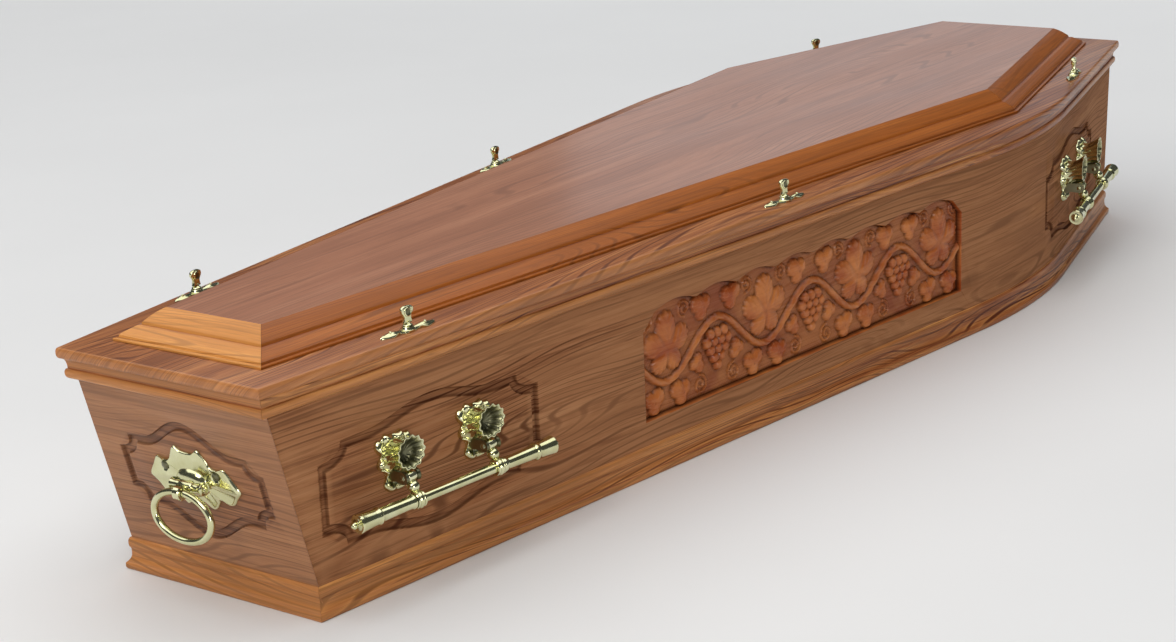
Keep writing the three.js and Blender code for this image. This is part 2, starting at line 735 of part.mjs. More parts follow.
addMesh('lid_board', lidBoard(), finish.lid);
const lidRuns = {
  foot: footStations,
  head: headStations,
  left_long: longStations,
  left_short: shortStations,
  right_long: onRight(longStations),
  right_short: onRight(shortStations),
};
for (const [where, stationsOf] of Object.entries(lidRuns)) {
  addMesh(`lid_moulding_${where}`, runGeometry(lidMouldingProfile(), stationsOf), finish.moulding);
}
addMesh('lid_panel', lidPanel(), finish.lid);

// Bar handles

// An outline cut across the handle's width, from its distance out and its height to a body along X
function acrossBody(outline, width, holes = []) {
  const shape = new THREE.Shape(outline);
  shape.holes.push(...holes.map((hole) => new THREE.Path(hole)));
  return new THREE.ExtrudeGeometry(shape, { depth: width, bevelEnabled: false })
    .translate(0, 0, -width / 2)
    .rotateY(-Math.PI / 2);
}

function roundHole(x, y, radius, sides) {
  return arcPoints(x, y, holeRadius(radius, sides), 0, 2 * Math.PI, sides).slice(0, sides);
}

// A lug that stands out from the wall to a rounded end, at height y
function lug(out, y, radius, width, holes = []) {
  const tip = arcPoints(out, y, radius, -Math.PI / 2, Math.PI / 2, 3);
  const root = [new THREE.Vector2(JOINT_GAP, y + radius), new THREE.Vector2(JOINT_GAP, y - radius)];
  return acrossBody([...tip, ...root], width, holes);
}

// A cast plate with a sloping edge, from an outline of shares of its half width and half height
function castPlate(shares, width, height, thickness) {
  const row = (scale, z) => shares.map(([x, y]) =>
    new THREE.Vector3(x * scale * width / 2, y * scale * height / 2, z));
  const sections = [row(1, JOINT_GAP), row(0.9, thickness)];
  return bodyThroughSections(sections, sections[0].map(({ x, y }) => new THREE.Vector2(x, y)));
}

const bothSides = (half) => [...half, ...half.map(([x, y]) => [-x, y]).reverse()];

// A rounded body that stands out from a plate, through ovals given from the wall outwards
function ovalBody(ovals) {
  const sections = ovals.map(({ centreY, halfWidth, halfHeight, out }) =>
    arcPoints(0, 0, 1, 0, 2 * Math.PI, SMALL_ROUND_SIDES).slice(1)
      .map(({ x, y }) => new THREE.Vector3(x * halfWidth, centreY + y * halfHeight, out)));
  return bodyThroughSections(sections, sections[0].map(({ x, y }) => new THREE.Vector2(x, y)));
}

const BRACKET_EDGE = bothSides([
  [0.3, -1], [0.62, -0.72], [0.5, -0.4], [0.86, -0.1], [0.76, 0.3], [1, 0.66], [0.45, 1],
]);
const HINGE_Y = -HINGE_DROP;
const EAR_OFFSET = ARM_THICKNESS / 2 + TURNING_CLEARANCE + EAR_THICKNESS / 2;

function bracket() {
  const ears = [-1, 1].map((way) =>
    lug(HINGE_OUT, HINGE_Y, EAR_RADIUS, EAR_THICKNESS).translate(way * EAR_OFFSET, 0, 0));
  const pinLength = 2 * EAR_OFFSET + EAR_THICKNESS / 2;
  const pin = new THREE.CylinderGeometry(HINGE_PIN_RADIUS, HINGE_PIN_RADIUS, pinLength, SMALL_ROUND_SIDES)
    .rotateZ(Math.PI / 2)
    .translate(0, HINGE_Y, HINGE_OUT);
  const [w, h] = [BRACKET_WIDTH / 2, BRACKET_HEIGHT / 2];
  const hood = ovalBody([
    { centreY: h * 0.1, halfWidth: w * 0.7, halfHeight: h * 0.76, out: BRACKET_THICKNESS / 2 },
    { centreY: h * 0.34, halfWidth: w * 0.6, halfHeight: h * 0.46, out: HOOD_OUT / 2 },
    { centreY: h * 0.5, halfWidth: w * 0.72, halfHeight: h * 0.55, out: HOOD_OUT },
  ]);
  const plate = castPlate(BRACKET_EDGE, BRACKET_WIDTH, BRACKET_HEIGHT, BRACKET_THICKNESS);
  return joined([plate, hood, ...ears, pin]);
}

// The arm hangs from the pin, drawn from the hinge: an eye above and a collar round the bar
function arm() {
  const [out, down] = [BAR_OUT - HINGE_OUT, BAR_DROP - HINGE_DROP];
  const slope = Math.atan2(-down, out);
  const wrap = THREE.MathUtils.degToRad(110);
  const collar = arcPoints(out, -down, COLLAR_RADIUS, slope - wrap, slope + wrap, 5);
  const eye = arcPoints(0, 0, ARM_EYE_RADIUS, slope + wrap, slope + 2 * Math.PI - wrap, 3);
  return acrossBody([...collar, ...eye], ARM_THICKNESS, [
    roundHole(0, 0, HINGE_PIN_RADIUS, SMALL_ROUND_SIDES),
    roundHole(out, -down, BAR_RADIUS, SMALL_ROUND_SIDES),
  ]).translate(0, HINGE_Y, HINGE_OUT);
}

function bar() {
  const end = BAR_LENGTH / 2;
  const knob = SLEEVE_OUTER_RADIUS;
  const sleeveStart = (BRACKET_SPACING + ARM_THICKNESS) / 2 + TURNING_CLEARANCE;
  const half = [
    [0, end], [BAR_RADIUS * 0.9, end - knob * 0.35], [BAR_RADIUS * 0.6, end - knob * 0.9],
    [SLEEVE_OUTER_RADIUS, end - knob], [SLEEVE_INNER_RADIUS, sleeveStart], [BAR_RADIUS, sleeveStart],
  ];
  const whole = [...half.map(([r, x]) => [r, -x]), ...[...half].reverse()];
  return new THREE.LatheGeometry(whole.map(([r, x]) => new THREE.Vector2(r, x)), ROUND_SIDES)
    .rotateZ(-Math.PI / 2)
    .translate(0, -BAR_DROP, BAR_OUT);
}

const bracketGeometry = bracket();
const armGeometry = arm();
const barGeometry = toGeometry(toSolid(bar()));

for (const [side, hand] of [['left', -1], ['right', 1]]) {
  for (const [i, end] of ['foot', 'head'].entries()) {
    const handle = new THREE.Group();
    const distance = wallDistance(HANDLES_FROM_FOOT[i], HANDLE_HEIGHT);
    handle.applyMatrix4(sideFrame(hand, distance, HANDLE_HEIGHT));
    coffin.add(handle);
    for (const [letter, way] of [['a', -1], ['b', 1]]) {
      const x = way * BRACKET_SPACING / 2;
      addMesh(`bracket_${side}_${end}_${letter}`, bracketGeometry, finish.brass, handle).position.x = x;
      addMesh(`arm_${side}_${end}_${letter}`, armGeometry, finish.brass, handle).position.x = x;
    }
    addMesh(`bar_${side}_${end}`, barGeometry, finish.brass, handle);
  }
}

// Ring handles

const RING_PLATE_EDGE = bothSides([
  [0.12, -0.8], [0.3, -1], [0.5, -0.6], [0.76, -0.7], [1, -0.18], [0.74, 0.5], [0.46, 0.5], [0.26, 1],
]);

function ringPlate() {
  const pivotY = -RING_PIVOT_DROP;
  const eyeRadius = RING_TUBE_RADIUS + TURNING_CLEARANCE + RING_EYE_WALL;
  const eye = lug(RING_PIVOT_OUT, pivotY, eyeRadius, RING_EYE_WIDTH, [
    roundHole(RING_PIVOT_OUT, pivotY, RING_TUBE_RADIUS, ROUND_SIDES),
  ]);
  const barrelRadius = END_RING_BARREL_RADIUS;
  const barrelOut = RING_PIVOT_OUT - RING_TUBE_RADIUS - barrelRadius - 2;
  const barrel = new THREE.CylinderGeometry(barrelRadius, barrelRadius, END_RING_BARREL_LENGTH, ROUND_SIDES)
    .rotateZ(Math.PI / 2)
    .translate(0, pivotY, barrelOut);
  const [w, h] = [END_RING_BARREL_LENGTH / 2, RING_PLATE_HEIGHT * 0.24];
  const backing = ovalBody([
    { centreY: pivotY, halfWidth: w, halfHeight: h, out: BRACKET_THICKNESS / 2 },
    { centreY: pivotY, halfWidth: w * 0.8, halfHeight: h * 0.8, out: barrelOut },
  ]);
  const plate = castPlate(RING_PLATE_EDGE, RING_PLATE_WIDTH, RING_PLATE_HEIGHT, BRACKET_THICKNESS);
  return joined([plate, backing, barrel, eye]);
}

// An oval ring that hangs down from the origin. A straight length of the tube runs through the eye.
function ring() {
  const step = (2 * Math.PI) / RING_STEPS;
  const [a, b] = [RING_WIDTH / 2, RING_DROP / 2];
  const top = b * Math.cos(step / 2);
  const sections = Array.from({ length: RING_STEPS }, (_, i) => {
    const angle = (i + 0.5) * step;
    const [sin, cos] = [Math.sin(angle), Math.cos(angle)];
    const outward = new THREE.Vector3(sin / a, cos / b, 0).normalize();
    const centre = new THREE.Vector3(a * sin, b * cos - top, 0);
    return arcPoints(0, 0, RING_TUBE_RADIUS, 0, 2 * Math.PI, RING_TUBE_SIDES).slice(1).map(({ x, y }) =>
      centre.clone().addScaledVector(outward, x).add(new THREE.Vector3(0, 0, y)));
  });
  return bodyThroughSections(sections);
}

const ringPlateGeometry = ringPlate();
const ringGeometry = ring();

for (const [end, lean] of [['foot', FOOT_LEAN], ['head', HEAD_LEAN]]) {
  const handle = new THREE.Group();
  handle.applyMatrix4(endFrame(end, RING_HEIGHT));
  coffin.add(handle);
  addMesh(`ring_plate_${end}`, ringPlateGeometry, finish.brass, handle);
  const hanging = addMesh(`ring_${end}`, ringGeometry, finish.brass, handle);
  hanging.position.set(0, -RING_PIVOT_DROP, RING_PIVOT_OUT);
  hanging.rotation.x = -Math.atan(lean / CASE_HEIGHT);
}

// Lid screws. Each sits in a frame on the ledge with X along the lid's edge.

const SCREW_PLATE_EDGE = bothSides([
  [0.16, -1], [0.32, -0.45], [0.6, -0.75], [1, 0], [0.6, 0.75], [0.32, 0.45], [0.16, 1],
]);
const THUMB_EDGE = bothSides([[0.72, 0], [0.58, 0.3], [1, 0.68], [0.62, 1]]);

function screwPlate() {
  const plate = castPlate(SCREW_PLATE_EDGE, SCREW_PLATE_LENGTH, SCREW_PLATE_WIDTH, SCREW_PLATE_THICKNESS);
  const boss = new THREE.CylinderGeometry(
    SCREW_BOSS_RADIUS * 0.8, SCREW_BOSS_RADIUS, SCREW_BOSS_HEIGHT - JOINT_GAP, SMALL_ROUND_SIDES);
  boss.rotateX(Math.PI / 2).translate(0, 0, (SCREW_BOSS_HEIGHT + JOINT_GAP) / 2);
  return cut(joined([plate, boss]), [bore(0, 0, SCREW_BOSS_HEIGHT + 1, SCREW_BOSS_HEIGHT + 2)]);
}

function thumbscrew() {
  const bottom = 1 - SHAFT_BELOW_LEDGE;
  const seat = SCREW_BOSS_HEIGHT + TURNING_CLEARANCE;
  const collar = SCREW_BOSS_RADIUS * 0.75;
  const neck = THUMB_THICKNESS * 0.6;
  const shaft = new THREE.LatheGeometry([
    [0, bottom], [SCREW_RADIUS, bottom], [SCREW_RADIUS, seat], [collar, seat], [collar, seat + 2],
    [neck, seat + 4], [0, seat + 4],
  ].map(([r, z]) => new THREE.Vector2(r, z)), SMALL_ROUND_SIDES).rotateX(Math.PI / 2);
  const outline = THUMB_EDGE.map(([x, z]) => new THREE.Vector2(x * THUMB_WIDTH / 2, z * THUMB_HEIGHT));
  const shape = new THREE.Shape(outline);
  shape.holes.push(new THREE.Path(
    arcPoints(0, THUMB_HEIGHT * 0.66, THUMB_HOLE_RADIUS, 0, 2 * Math.PI, SMALL_ROUND_SIDES).slice(1)));
  const thumb = new THREE.ExtrudeGeometry(shape, { depth: THUMB_THICKNESS, bevelEnabled: false })
    .translate(0, 0, -THUMB_THICKNESS / 2)
    .rotateX(Math.PI / 2)
    .translate(0, 0, seat + 3);
  return joined([shaft, thumb]);
}

const screwPlateGeometry = screwPlate();
const thumbscrewGeometry = thumbscrew();

for (const { name, x, y, turn } of screws) {
  const place = new THREE.Group();
  place.position.set(x, y, LEDGE);
  place.rotation.z = turn;
  coffin.add(place);
  addMesh(`screw_plate_${name}`, screwPlateGeometry, finish.brass, place);
  addMesh(`thumbscrew_${name}`, thumbscrewGeometry, finish.brass, place);
}

export default coffin;
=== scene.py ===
"""A wooden coffin on a pale studio floor: varnished boards and mouldings with carved and routed
sides, and polished brassed handles, rings and lid screws. Lengths are millimetres until a mesh
is made."""

import math

import bmesh
import bpy
import numpy as np
from mathutils import Matrix, Vector
from mathutils.geometry import delaunay_2d_cdt


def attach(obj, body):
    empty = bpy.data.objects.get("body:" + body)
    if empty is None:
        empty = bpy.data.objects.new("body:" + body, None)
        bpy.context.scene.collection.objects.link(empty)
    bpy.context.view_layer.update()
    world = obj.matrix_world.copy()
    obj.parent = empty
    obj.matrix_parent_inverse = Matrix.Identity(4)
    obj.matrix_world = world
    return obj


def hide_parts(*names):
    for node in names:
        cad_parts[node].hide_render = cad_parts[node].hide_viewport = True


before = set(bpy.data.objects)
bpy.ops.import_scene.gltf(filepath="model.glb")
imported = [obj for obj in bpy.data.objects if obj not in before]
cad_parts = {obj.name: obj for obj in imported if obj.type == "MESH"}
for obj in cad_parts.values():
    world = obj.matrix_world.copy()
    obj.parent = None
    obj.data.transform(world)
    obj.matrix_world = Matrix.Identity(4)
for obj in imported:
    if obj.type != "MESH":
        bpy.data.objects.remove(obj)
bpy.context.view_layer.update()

# Plan of the lid's edge, the same as in the solids
LENGTH = 2030
FOOT_WIDTH = 319
SHOULDER_WIDTH = 655
HEAD_WIDTH = 355
SHOULDER_FROM_FOOT = 1472
SHOULDER_RADIUS = 850
BEND_STEPS = 24

# Case
CASE_HEIGHT = 276
WALL = 24
BASE_BOARD = 18
RIM_SETBACK = 12
SIDE_LEAN = 6
FOOT_LEAN = 65
HEAD_LEAN = 37
JOINT_GAP = 0.3
MITRE_GAP = 0.2
BASE_MOULDING_HEIGHT = 39
RIM_MOULDING_HEIGHT = 24

# Lid
LID_BOARD = 14
LID_MOULDING_HEIGHT = 32.5
LID_PANEL_INSET = 95
LID_PANEL = 16
LID_UNDERSIDE = CASE_HEIGHT + JOINT_GAP
LEDGE = LID_UNDERSIDE + LID_BOARD
LID_TOP = LEDGE + LID_MOULDING_HEIGHT

# Routed frames: length, height, scoop length and height, arch, arch length, height of the centre
SIDE_FRAME = (328, 112, 34, 20, 17, 204, 135)
END_FRAME = (216, 80, 20, 18, 31, 144, 144)

# A groove's section: distance from its middle, height and how much painted shade darkens it
GROOVE_SHAPE = (
    (0, -4.0, 0.1), (2.6, -3.9, 0.2), (4.4, -3.4, 0.7), (5.2, -2.2, 0.7), (5.7, -0.9, 0.4),
    (6.0, -0.2, 0.1), (6.5, 0, 0),
)
GROOVE_OFFSETS = [sign * d for d, _, _ in GROOVE_SHAPE for sign in (-1, 1) if d or sign > 0]

# Carved field
CARVING_FROM_FOOT = 937
CARVING_LENGTH = 676
CARVING_HEIGHT = 140
CARVING_CENTRE = 139
CARVING_DEPTH = 9
CARVING_SCALLOPS = 8
CARVING_SCALLOP_RISE = 8
CARVING_CORNER = 22
CARVING_GRID = 1.6
VINE_WAVES = 3.5
VINE_SWING = 30
VINE_THICKNESS = 9
VINE_HEIGHT = 6.6
LEAF_RADIUS = 50
LEAF_HEIGHT = 14
BUD_LEAF_RADIUS = 23
BUD_LEAF_HEIGHT = 51
BUD_LEAF_SPACING = 54
# Small leaves and curls beside each bunch or leaf: offset, height and size
SMALL_LEAF = (40, -20, 17)
LOW_CURL = (33, -52, 13)
HIGH_CURL = (36, 58, 12)
CURL_TURNS = 1.6
GRAPE_RADIUS = 7.6
BUNCH_HEIGHT = 2
BUNCH_ROWS = (3, 4, 3, 2, 1)

# Bar handles
HANDLES_FROM_FOOT = {"foot": 248, "head": 1700}
HANDLE_HEIGHT = 150
BRACKET_SPACING = 124
BRACKET_WIDTH = 54
BRACKET_HEIGHT = 70
HINGE_DROP = 12
HINGE_OUT = 27
HOOD_OUT = 33
HINGE_PIN_RADIUS = 2.8
EAR_OFFSET = 8.65
EAR_THICKNESS = 4.5
EAR_RADIUS = 6.5
BAR_DROP = 37.5
BAR_OUT = 38
BAR_LENGTH = 320

# Ring handles
RING_HEIGHT = 150
RING_PLATE_WIDTH = 142
RING_PLATE_HEIGHT = 78
RING_WIDTH = 90
RING_DROP = 58
RING_TUBE_RADIUS = 4.5
RING_PIVOT_DROP = 5
RING_PIVOT_OUT = 26
RING_BARREL_OUT = 12.5
RING_STEPS = 16
RING_TUBE_SHRINK = 0.96

# Lid screws
SCREWS_FROM_FOOT = {"foot": 228, "middle": 886, "head": 1738}
SCREW_INSET = 18
SCREW_PLATE_LENGTH = 84
SCREW_PLATE_WIDTH = 14
SCREW_BOSS_HEIGHT = 6
SCREW_RADIUS = 3
SCREW_BOTTOM = -33.3
THUMB_BOTTOM = 9.4
THUMB_HEIGHT = 20
THUMB_WIDTH = 18
THUMB_DISH_SHARE = 0.66

# Angles above which an edge stays sharp, in degrees
BOARD_SHARP = 38
METAL_SHARP = 40
MOULDING_SHARP = 32

MM = 0.001
# Shifts the grain of a face that is seen end on, and of the right side, to fresh wood
BACK_GRAIN = (0, 400)
RIGHT_GRAIN = (5000, 700)

FOOT_X = -LENGTH / 2
HEAD_X = LENGTH / 2
SHOULDER_X = FOOT_X + SHOULDER_FROM_FOOT
LONG_ANGLE = math.atan((SHOULDER_WIDTH - FOOT_WIDTH) / 2 / SHOULDER_FROM_FOOT)
SHORT_ANGLE = math.atan((SHOULDER_WIDTH - HEAD_WIDTH) / 2 / (LENGTH - SHOULDER_FROM_FOOT))
BEND_ANGLE = LONG_ANGLE + SHORT_ANGLE
BEND_MIDDLE = (SHORT_ANGLE - LONG_ANGLE) / 2


# Outlines. A level is the distance in from the lid's edge at the sides, foot and head, and a
# height.


def lid_level(inset, z):
    return (inset, inset, inset, z)


def wall_level(z, depth=0.0):
    down = 1 - z / CASE_HEIGHT
    return (
        RIM_SETBACK + SIDE_LEAN * down + depth,
        RIM_SETBACK + FOOT_LEAN * down + depth,
        RIM_SETBACK + HEAD_LEAN * down + depth,
        z,
    )


def corners(level):
    """The corners of an outline's left half: foot, shoulder and head, as x and y."""
    side, foot, head, _ = level
    foot_half = FOOT_WIDTH / 2 + math.tan(LONG_ANGLE) * foot - side / math.cos(LONG_ANGLE)
    head_half = HEAD_WIDTH / 2 + math.tan(SHORT_ANGLE) * head - side / math.cos(SHORT_ANGLE)
    shift = side * (1 / math.cos(LONG_ANGLE) - 1 / math.cos(SHORT_ANGLE))
    shift /= math.tan(LONG_ANGLE) + math.tan(SHORT_ANGLE)
    shoulder_half = SHOULDER_WIDTH / 2 + math.tan(LONG_ANGLE) * shift - side / math.cos(LONG_ANGLE)
    return (
        (FOOT_X + foot, -foot_half),
        (SHOULDER_X + shift, -shoulder_half),
        (HEAD_X - head, -head_half),
    )


def bend(level):
    """Centre x, centre y and radius of the arc that rounds the left shoulder."""
    _, (x, y), _ = corners(level)
    radius = SHOULDER_RADIUS - level[0]
    reach = radius / math.cos(BEND_ANGLE / 2)
    return x - math.sin(BEND_MIDDLE) * reach, y + math.cos(BEND_MIDDLE) * reach, radius


def side_stations(level, gap=MITRE_GAP):
    (foot_x, foot_y), _, (head_x, head_y) = corners(level)
    x, y, radius = bend(level)
    angles = np.linspace(-LONG_ANGLE, SHORT_ANGLE, BEND_STEPS + 1)
    bent = [(x + radius * math.sin(a), y - radius * math.cos(a)) for a in angles]
    row = [(foot_x + gap, foot_y), *bent, (head_x - gap, head_y)]
    return [(px, py, level[3]) for px, py in row]


def foot_stations(level):
    x, y = corners(level)[0]
    return [(x, -y - MITRE_GAP, level[3]), (x, y + MITRE_GAP, level[3])]


def head_stations(level):
    x, y = corners(level)[2]
    return [(x, y + MITRE_GAP, level[3]), (x, -y - MITRE_GAP, level[3])]


def straight_stations(level, start):
    (x0, y0), (x1, y1) = corners(level)[start : start + 2]
    return [(x0 + MITRE_GAP, y0, level[3]), (x1 - MITRE_GAP, y1, level[3])]


def long_stations(level):
    return straight_stations(level, 0)


def short_stations(level):
    return straight_stations(level, 1)


# Places on the left wall, as distance from the middle of the bend and height


def wall_distance(from_foot, z):
    centre_x, _, radius = bend(wall_level(z))
    x = FOOT_X + from_foot - centre_x
    start = -radius * math.sin(LONG_ANGLE)
    end = radius * math.sin(SHORT_ANGLE)
    if x < start:
        return (x - start) / math.cos(LONG_ANGLE) - radius * BEND_ANGLE / 2
    if x > end:
        return (x - end) / math.cos(SHORT_ANGLE) + radius * BEND_ANGLE / 2
    return radius * (math.asin(x / radius) - BEND_MIDDLE)


def left_wall(distance, z, out):
    """Points on the left wall's face, for arrays of distance, height and reach out of it."""
    centre_x, centre_y, radius = bend(wall_level(z))
    turn = np.clip(distance / radius, -BEND_ANGLE / 2, BEND_ANGLE / 2)
    straight = distance - turn * radius
    angle = BEND_MIDDLE + turn
    sin, cos = np.sin(angle), np.cos(angle)
    tilt = SIDE_LEAN / CASE_HEIGHT
    level_out = out / math.hypot(1, tilt)
    x = centre_x + radius * sin + straight * cos + sin * level_out
    y = centre_y - radius * cos + straight * sin - cos * level_out
    return np.stack([x, y, z - tilt * level_out], axis=-1)


def wall_frame(position, outward, lean):
    """A frame on a wall's face: X along the wall, Y up it and Z out of it."""
    normal = Vector((outward[0], outward[1], -lean / CASE_HEIGHT)).normalized()
    along = Vector((0, 0, 1)).cross(Vector((outward[0], outward[1], 0))).normalized()
    up = normal.cross(along)
    place = Matrix((along, up, normal)).transposed().to_4x4()
    place.translation = position
    return place


def side_frame(hand, from_foot, z):
    distance = wall_distance(from_foot, z)
    x, y, _ = left_wall(np.float64(distance), np.float64(z), 0.0)
    _, _, radius = bend(wall_level(z))
    turn = min(max(distance / radius, -BEND_ANGLE / 2), BEND_ANGLE / 2)
    angle = BEND_MIDDLE + turn
    outward = (math.sin(angle), hand * math.cos(angle))
    return wall_frame((x, -hand * y, z), outward, SIDE_LEAN)


def end_frame(end, z):
    _, foot, head, _ = wall_level(z)
    if end == "head":
        return wall_frame((HEAD_X - head, 0, z), (1, 0), HEAD_LEAN)
    return wall_frame((FOOT_X + foot, 0, z), (-1, 0), FOOT_LEAN)


# Node materials


class Nodes:
    """A material's nodes, added and wired in one line each."""

    def __init__(self, name):
        self.material = bpy.data.materials.new(name)
        self.material.use_nodes = True
        self.tree = self.material.node_tree
        self.shader = self.tree.nodes["Principled BSDF"]

    def add(self, kind, wires=None, **settings):
        node = self.tree.nodes.new("ShaderNode" + kind)
        for key, value in settings.items():
            setattr(node, key, value)
        for socket, value in (wires or {}).items():
            self.wire(node.inputs[socket], value)
        return node

    def wire(self, socket, value):
        if isinstance(value, bpy.types.NodeSocket):
            self.tree.links.new(value, socket)
        else:
            socket.default_value = value

    def math(self, operation, a, b=0.0, clamp=False):
        return self.add("Math", {0: a, 1: b}, operation=operation, use_clamp=clamp).outputs[0]

    def plus(self, a, b, clamp=False):
        return self.math("ADD", a, b, clamp)

    def minus(self, a, b):
        return self.math("SUBTRACT", a, b)

    def times(self, a, b, clamp=False):
        return self.math("MULTIPLY", a, b, clamp)

    def noise(self, vector, scale, stretch, detail=3.0, distortion=0.0, roughness=0.55):
        mapping = self.add("Mapping", {"Vector": vector, "Scale": stretch})
        wires = {
            "Vector": mapping.outputs[0],
            "Scale": scale,
            "Detail": detail,
            "Distortion": distortion,
            "Roughness": roughness,
        }
        return self.add("TexNoise", wires).outputs["Fac"]

    def ramp(self, factor, *stops):
        node = self.add("ValToRGB", {"Fac": factor})
        elements = node.color_ramp.elements
        while len(elements) < len(stops):
            elements.new(0.5)
        for element, (position, colour) in zip(elements, stops):
            element.position = position
            grey = not isinstance(colour, tuple)
            element.color = (colour, colour, colour, 1) if grey else (*colour, 1)
        return node.outputs["Color"]

    def mix(self, factor, a, b):
        node = self.add("Mix", data_type="RGBA")
        for socket, value in ((0, factor), (6, a), (7, b)):
            if isinstance(value, tuple):
                value = (*value, 1)
            self.wire(node.inputs[socket], value)
        return node.outputs[2]


def linear(red, green, blue):
    """A colour on a 0 to 255 scale in the shader's own terms."""
    values = (v / 255 for v in (red, green, blue))
    return tuple(v / 12.92 if v <= 0.04045 else ((v + 0.055) / 1.055) ** 2.4 for v in values)


def shaded(colour, share):
    return tuple(c * share for c in colour)


def wood(name, dark, mid, light, streaks, coat, roughness, seed, gloss=0.25, warm=None,
         carved_coat=None):
    """Varnished wood. The grain follows the grain map, whose first axis runs along the board.
    Where a far-end colour is given, the wood turns to that colour towards the far end of the board,
    a painted shade where less light falls, and where carved_coat is given, the carving has that
    much more varnish."""
    n = Nodes(name)
    grain = n.add("UVMap", uv_map="grain").outputs["UV"]
    shift = (seed, seed * 0.37, seed)
    place = n.add("VectorMath", {0: grain, 1: shift}, operation="ADD").outputs[0]
    bands = n.noise(place, 1.0, (1.1, 16, 1), 4, 0.9)
    streak = n.noise(place, 1.0, (2.6, 60, 1), 5, 0.6, 0.6)
    fibre = n.noise(place, 1.0, (14, 620, 1), 4, 0.2, 0.7)
    warp = n.noise(place, 1.0, (0.9, 5, 1), 2, 0.4)
    across = n.add("SeparateXYZ", {0: place}).outputs["Y"]
    rings = n.plus(n.times(across, 105), n.times(warp, 30))
    figure = n.math("SINE", n.times(rings, 6.2832))
    tone = n.math("MULTIPLY_ADD", bands, 0.62)
    tone.node.inputs[2].default_value = 0.02
    tone = n.plus(tone, n.times(n.minus(streak, 0.5), 0.62 * streaks))
    tone = n.plus(tone, n.times(figure, 0.04 * streaks))
    tone = n.plus(tone, n.times(n.minus(fibre, 0.5), 0.22))
    tone = n.plus(tone, 0.16, clamp=True)
    colour = n.ramp(tone, (0.18, dark), (0.48, mid), (0.82, light))
    # Fine dark pores drawn out along the grain
    pores = n.ramp(n.noise(place, 1.0, (38, 900, 1), 2, 0, 0.5), (0.30, 0.0), (0.40, 1.0))
    colour = n.mix(n.times(n.minus(1.0, pores), 0.35), colour, dark)
    # Long dark mineral streaks and short dashes
    line = n.ramp(n.noise(place, 1.0, (0.9, 80, 1), 3, 1.6, 0.6), (0.56, 0.0), (0.68, 1.0))
    colour = n.mix(n.times(line, 0.55 * streaks), colour, shaded(dark, 0.7))
    growth = n.times(n.ramp(figure, (0.45, 0.0), (0.95, 1.0)),
                    n.ramp(n.noise(place, 1.0, (1.8, 22, 1), 3, 0.5), (0.40, 0.0), (0.54, 1.0)))
    growth = n.times(growth, 0.8 * streaks, clamp=True)
    colour = n.mix(growth, colour, shaded(dark, 0.85))
    dash = n.ramp(n.noise(place, 1.0, (7, 260, 1), 3, 0.8, 0.6), (0.52, 0.0), (0.64, 1.0))
    colour = n.mix(n.times(dash, 0.6 * streaks), colour, dark)
    # Painted shade: darker and warmer towards the board's far end, where less light falls
    if warm is not None:
        along = n.add("SeparateXYZ", {0: grain}).outputs["X"]
        reach = n.add("MapRange", {"Value": along, 1: 0.7, 2: 1.5}, interpolation_type="SMOOTHSTEP")
        colour = n.mix(n.times(reach.outputs[0], 0.65), colour, warm)
    carved = n.add("Attribute", attribute_name="carved").outputs["Fac"]
    patches = n.noise(place, 1.0, (13, 17, 1), 3, 0.8)
    stained = n.ramp(patches, (0.36, linear(168, 74, 24)), (0.64, linear(214, 130, 66)))
    colour = n.mix(n.times(carved, 0.8, clamp=True), colour, stained)
    # Painted shade in the routed grooves and the carving's crevices
    painted_shade = n.add("Attribute", attribute_name="painted_shade").outputs["Fac"]
    colour = n.mix(n.times(painted_shade, 0.75, clamp=True), colour, shaded(dark, 0.35))
    point = n.add("NewGeometry").outputs["Pointiness"]
    # Painted highlight along convex edges
    edge_highlight = n.ramp(point, (0.515, 0.0), (0.56, 1.0))
    colour = n.mix(n.times(edge_highlight, 0.35), colour, light)
    # Painted shade along creases
    crease_shade = n.ramp(point, (0.44, 1.0), (0.485, 0.0))
    colour = n.mix(n.times(crease_shade, 0.35), colour, shaded(dark, 0.5))
    n.wire(n.shader.inputs["Base Color"], colour)
    dull = n.noise(place, 1.0, (3, 9, 1), 3)
    rough = n.plus(roughness - 0.08, n.times(dull, 0.16))
    rough = n.plus(rough, n.times(n.minus(fibre, 0.5), 0.10))
    rough = n.minus(rough, n.times(carved, 0.18))
    n.wire(n.shader.inputs["Roughness"], rough)
    height = n.plus(n.times(pores, 0.5), n.times(fibre, 0.5))
    bump = n.add("Bump", {"Strength": 0.10, "Distance": 0.0004, "Height": height})
    n.wire(n.shader.inputs["Normal"], bump.outputs[0])
    n.shader.inputs["Specular IOR Level"].default_value = gloss
    n.shader.inputs["Coat Weight"].default_value = coat
    if carved_coat is not None:
        varnish = n.plus(coat, n.times(carved, carved_coat), clamp=True)
        n.wire(n.shader.inputs["Coat Weight"], varnish)
    n.shader.inputs["Coat Roughness"].default_value = 0.16
    n.shader.inputs["Coat IOR"].default_value = 1.5
    return n.material


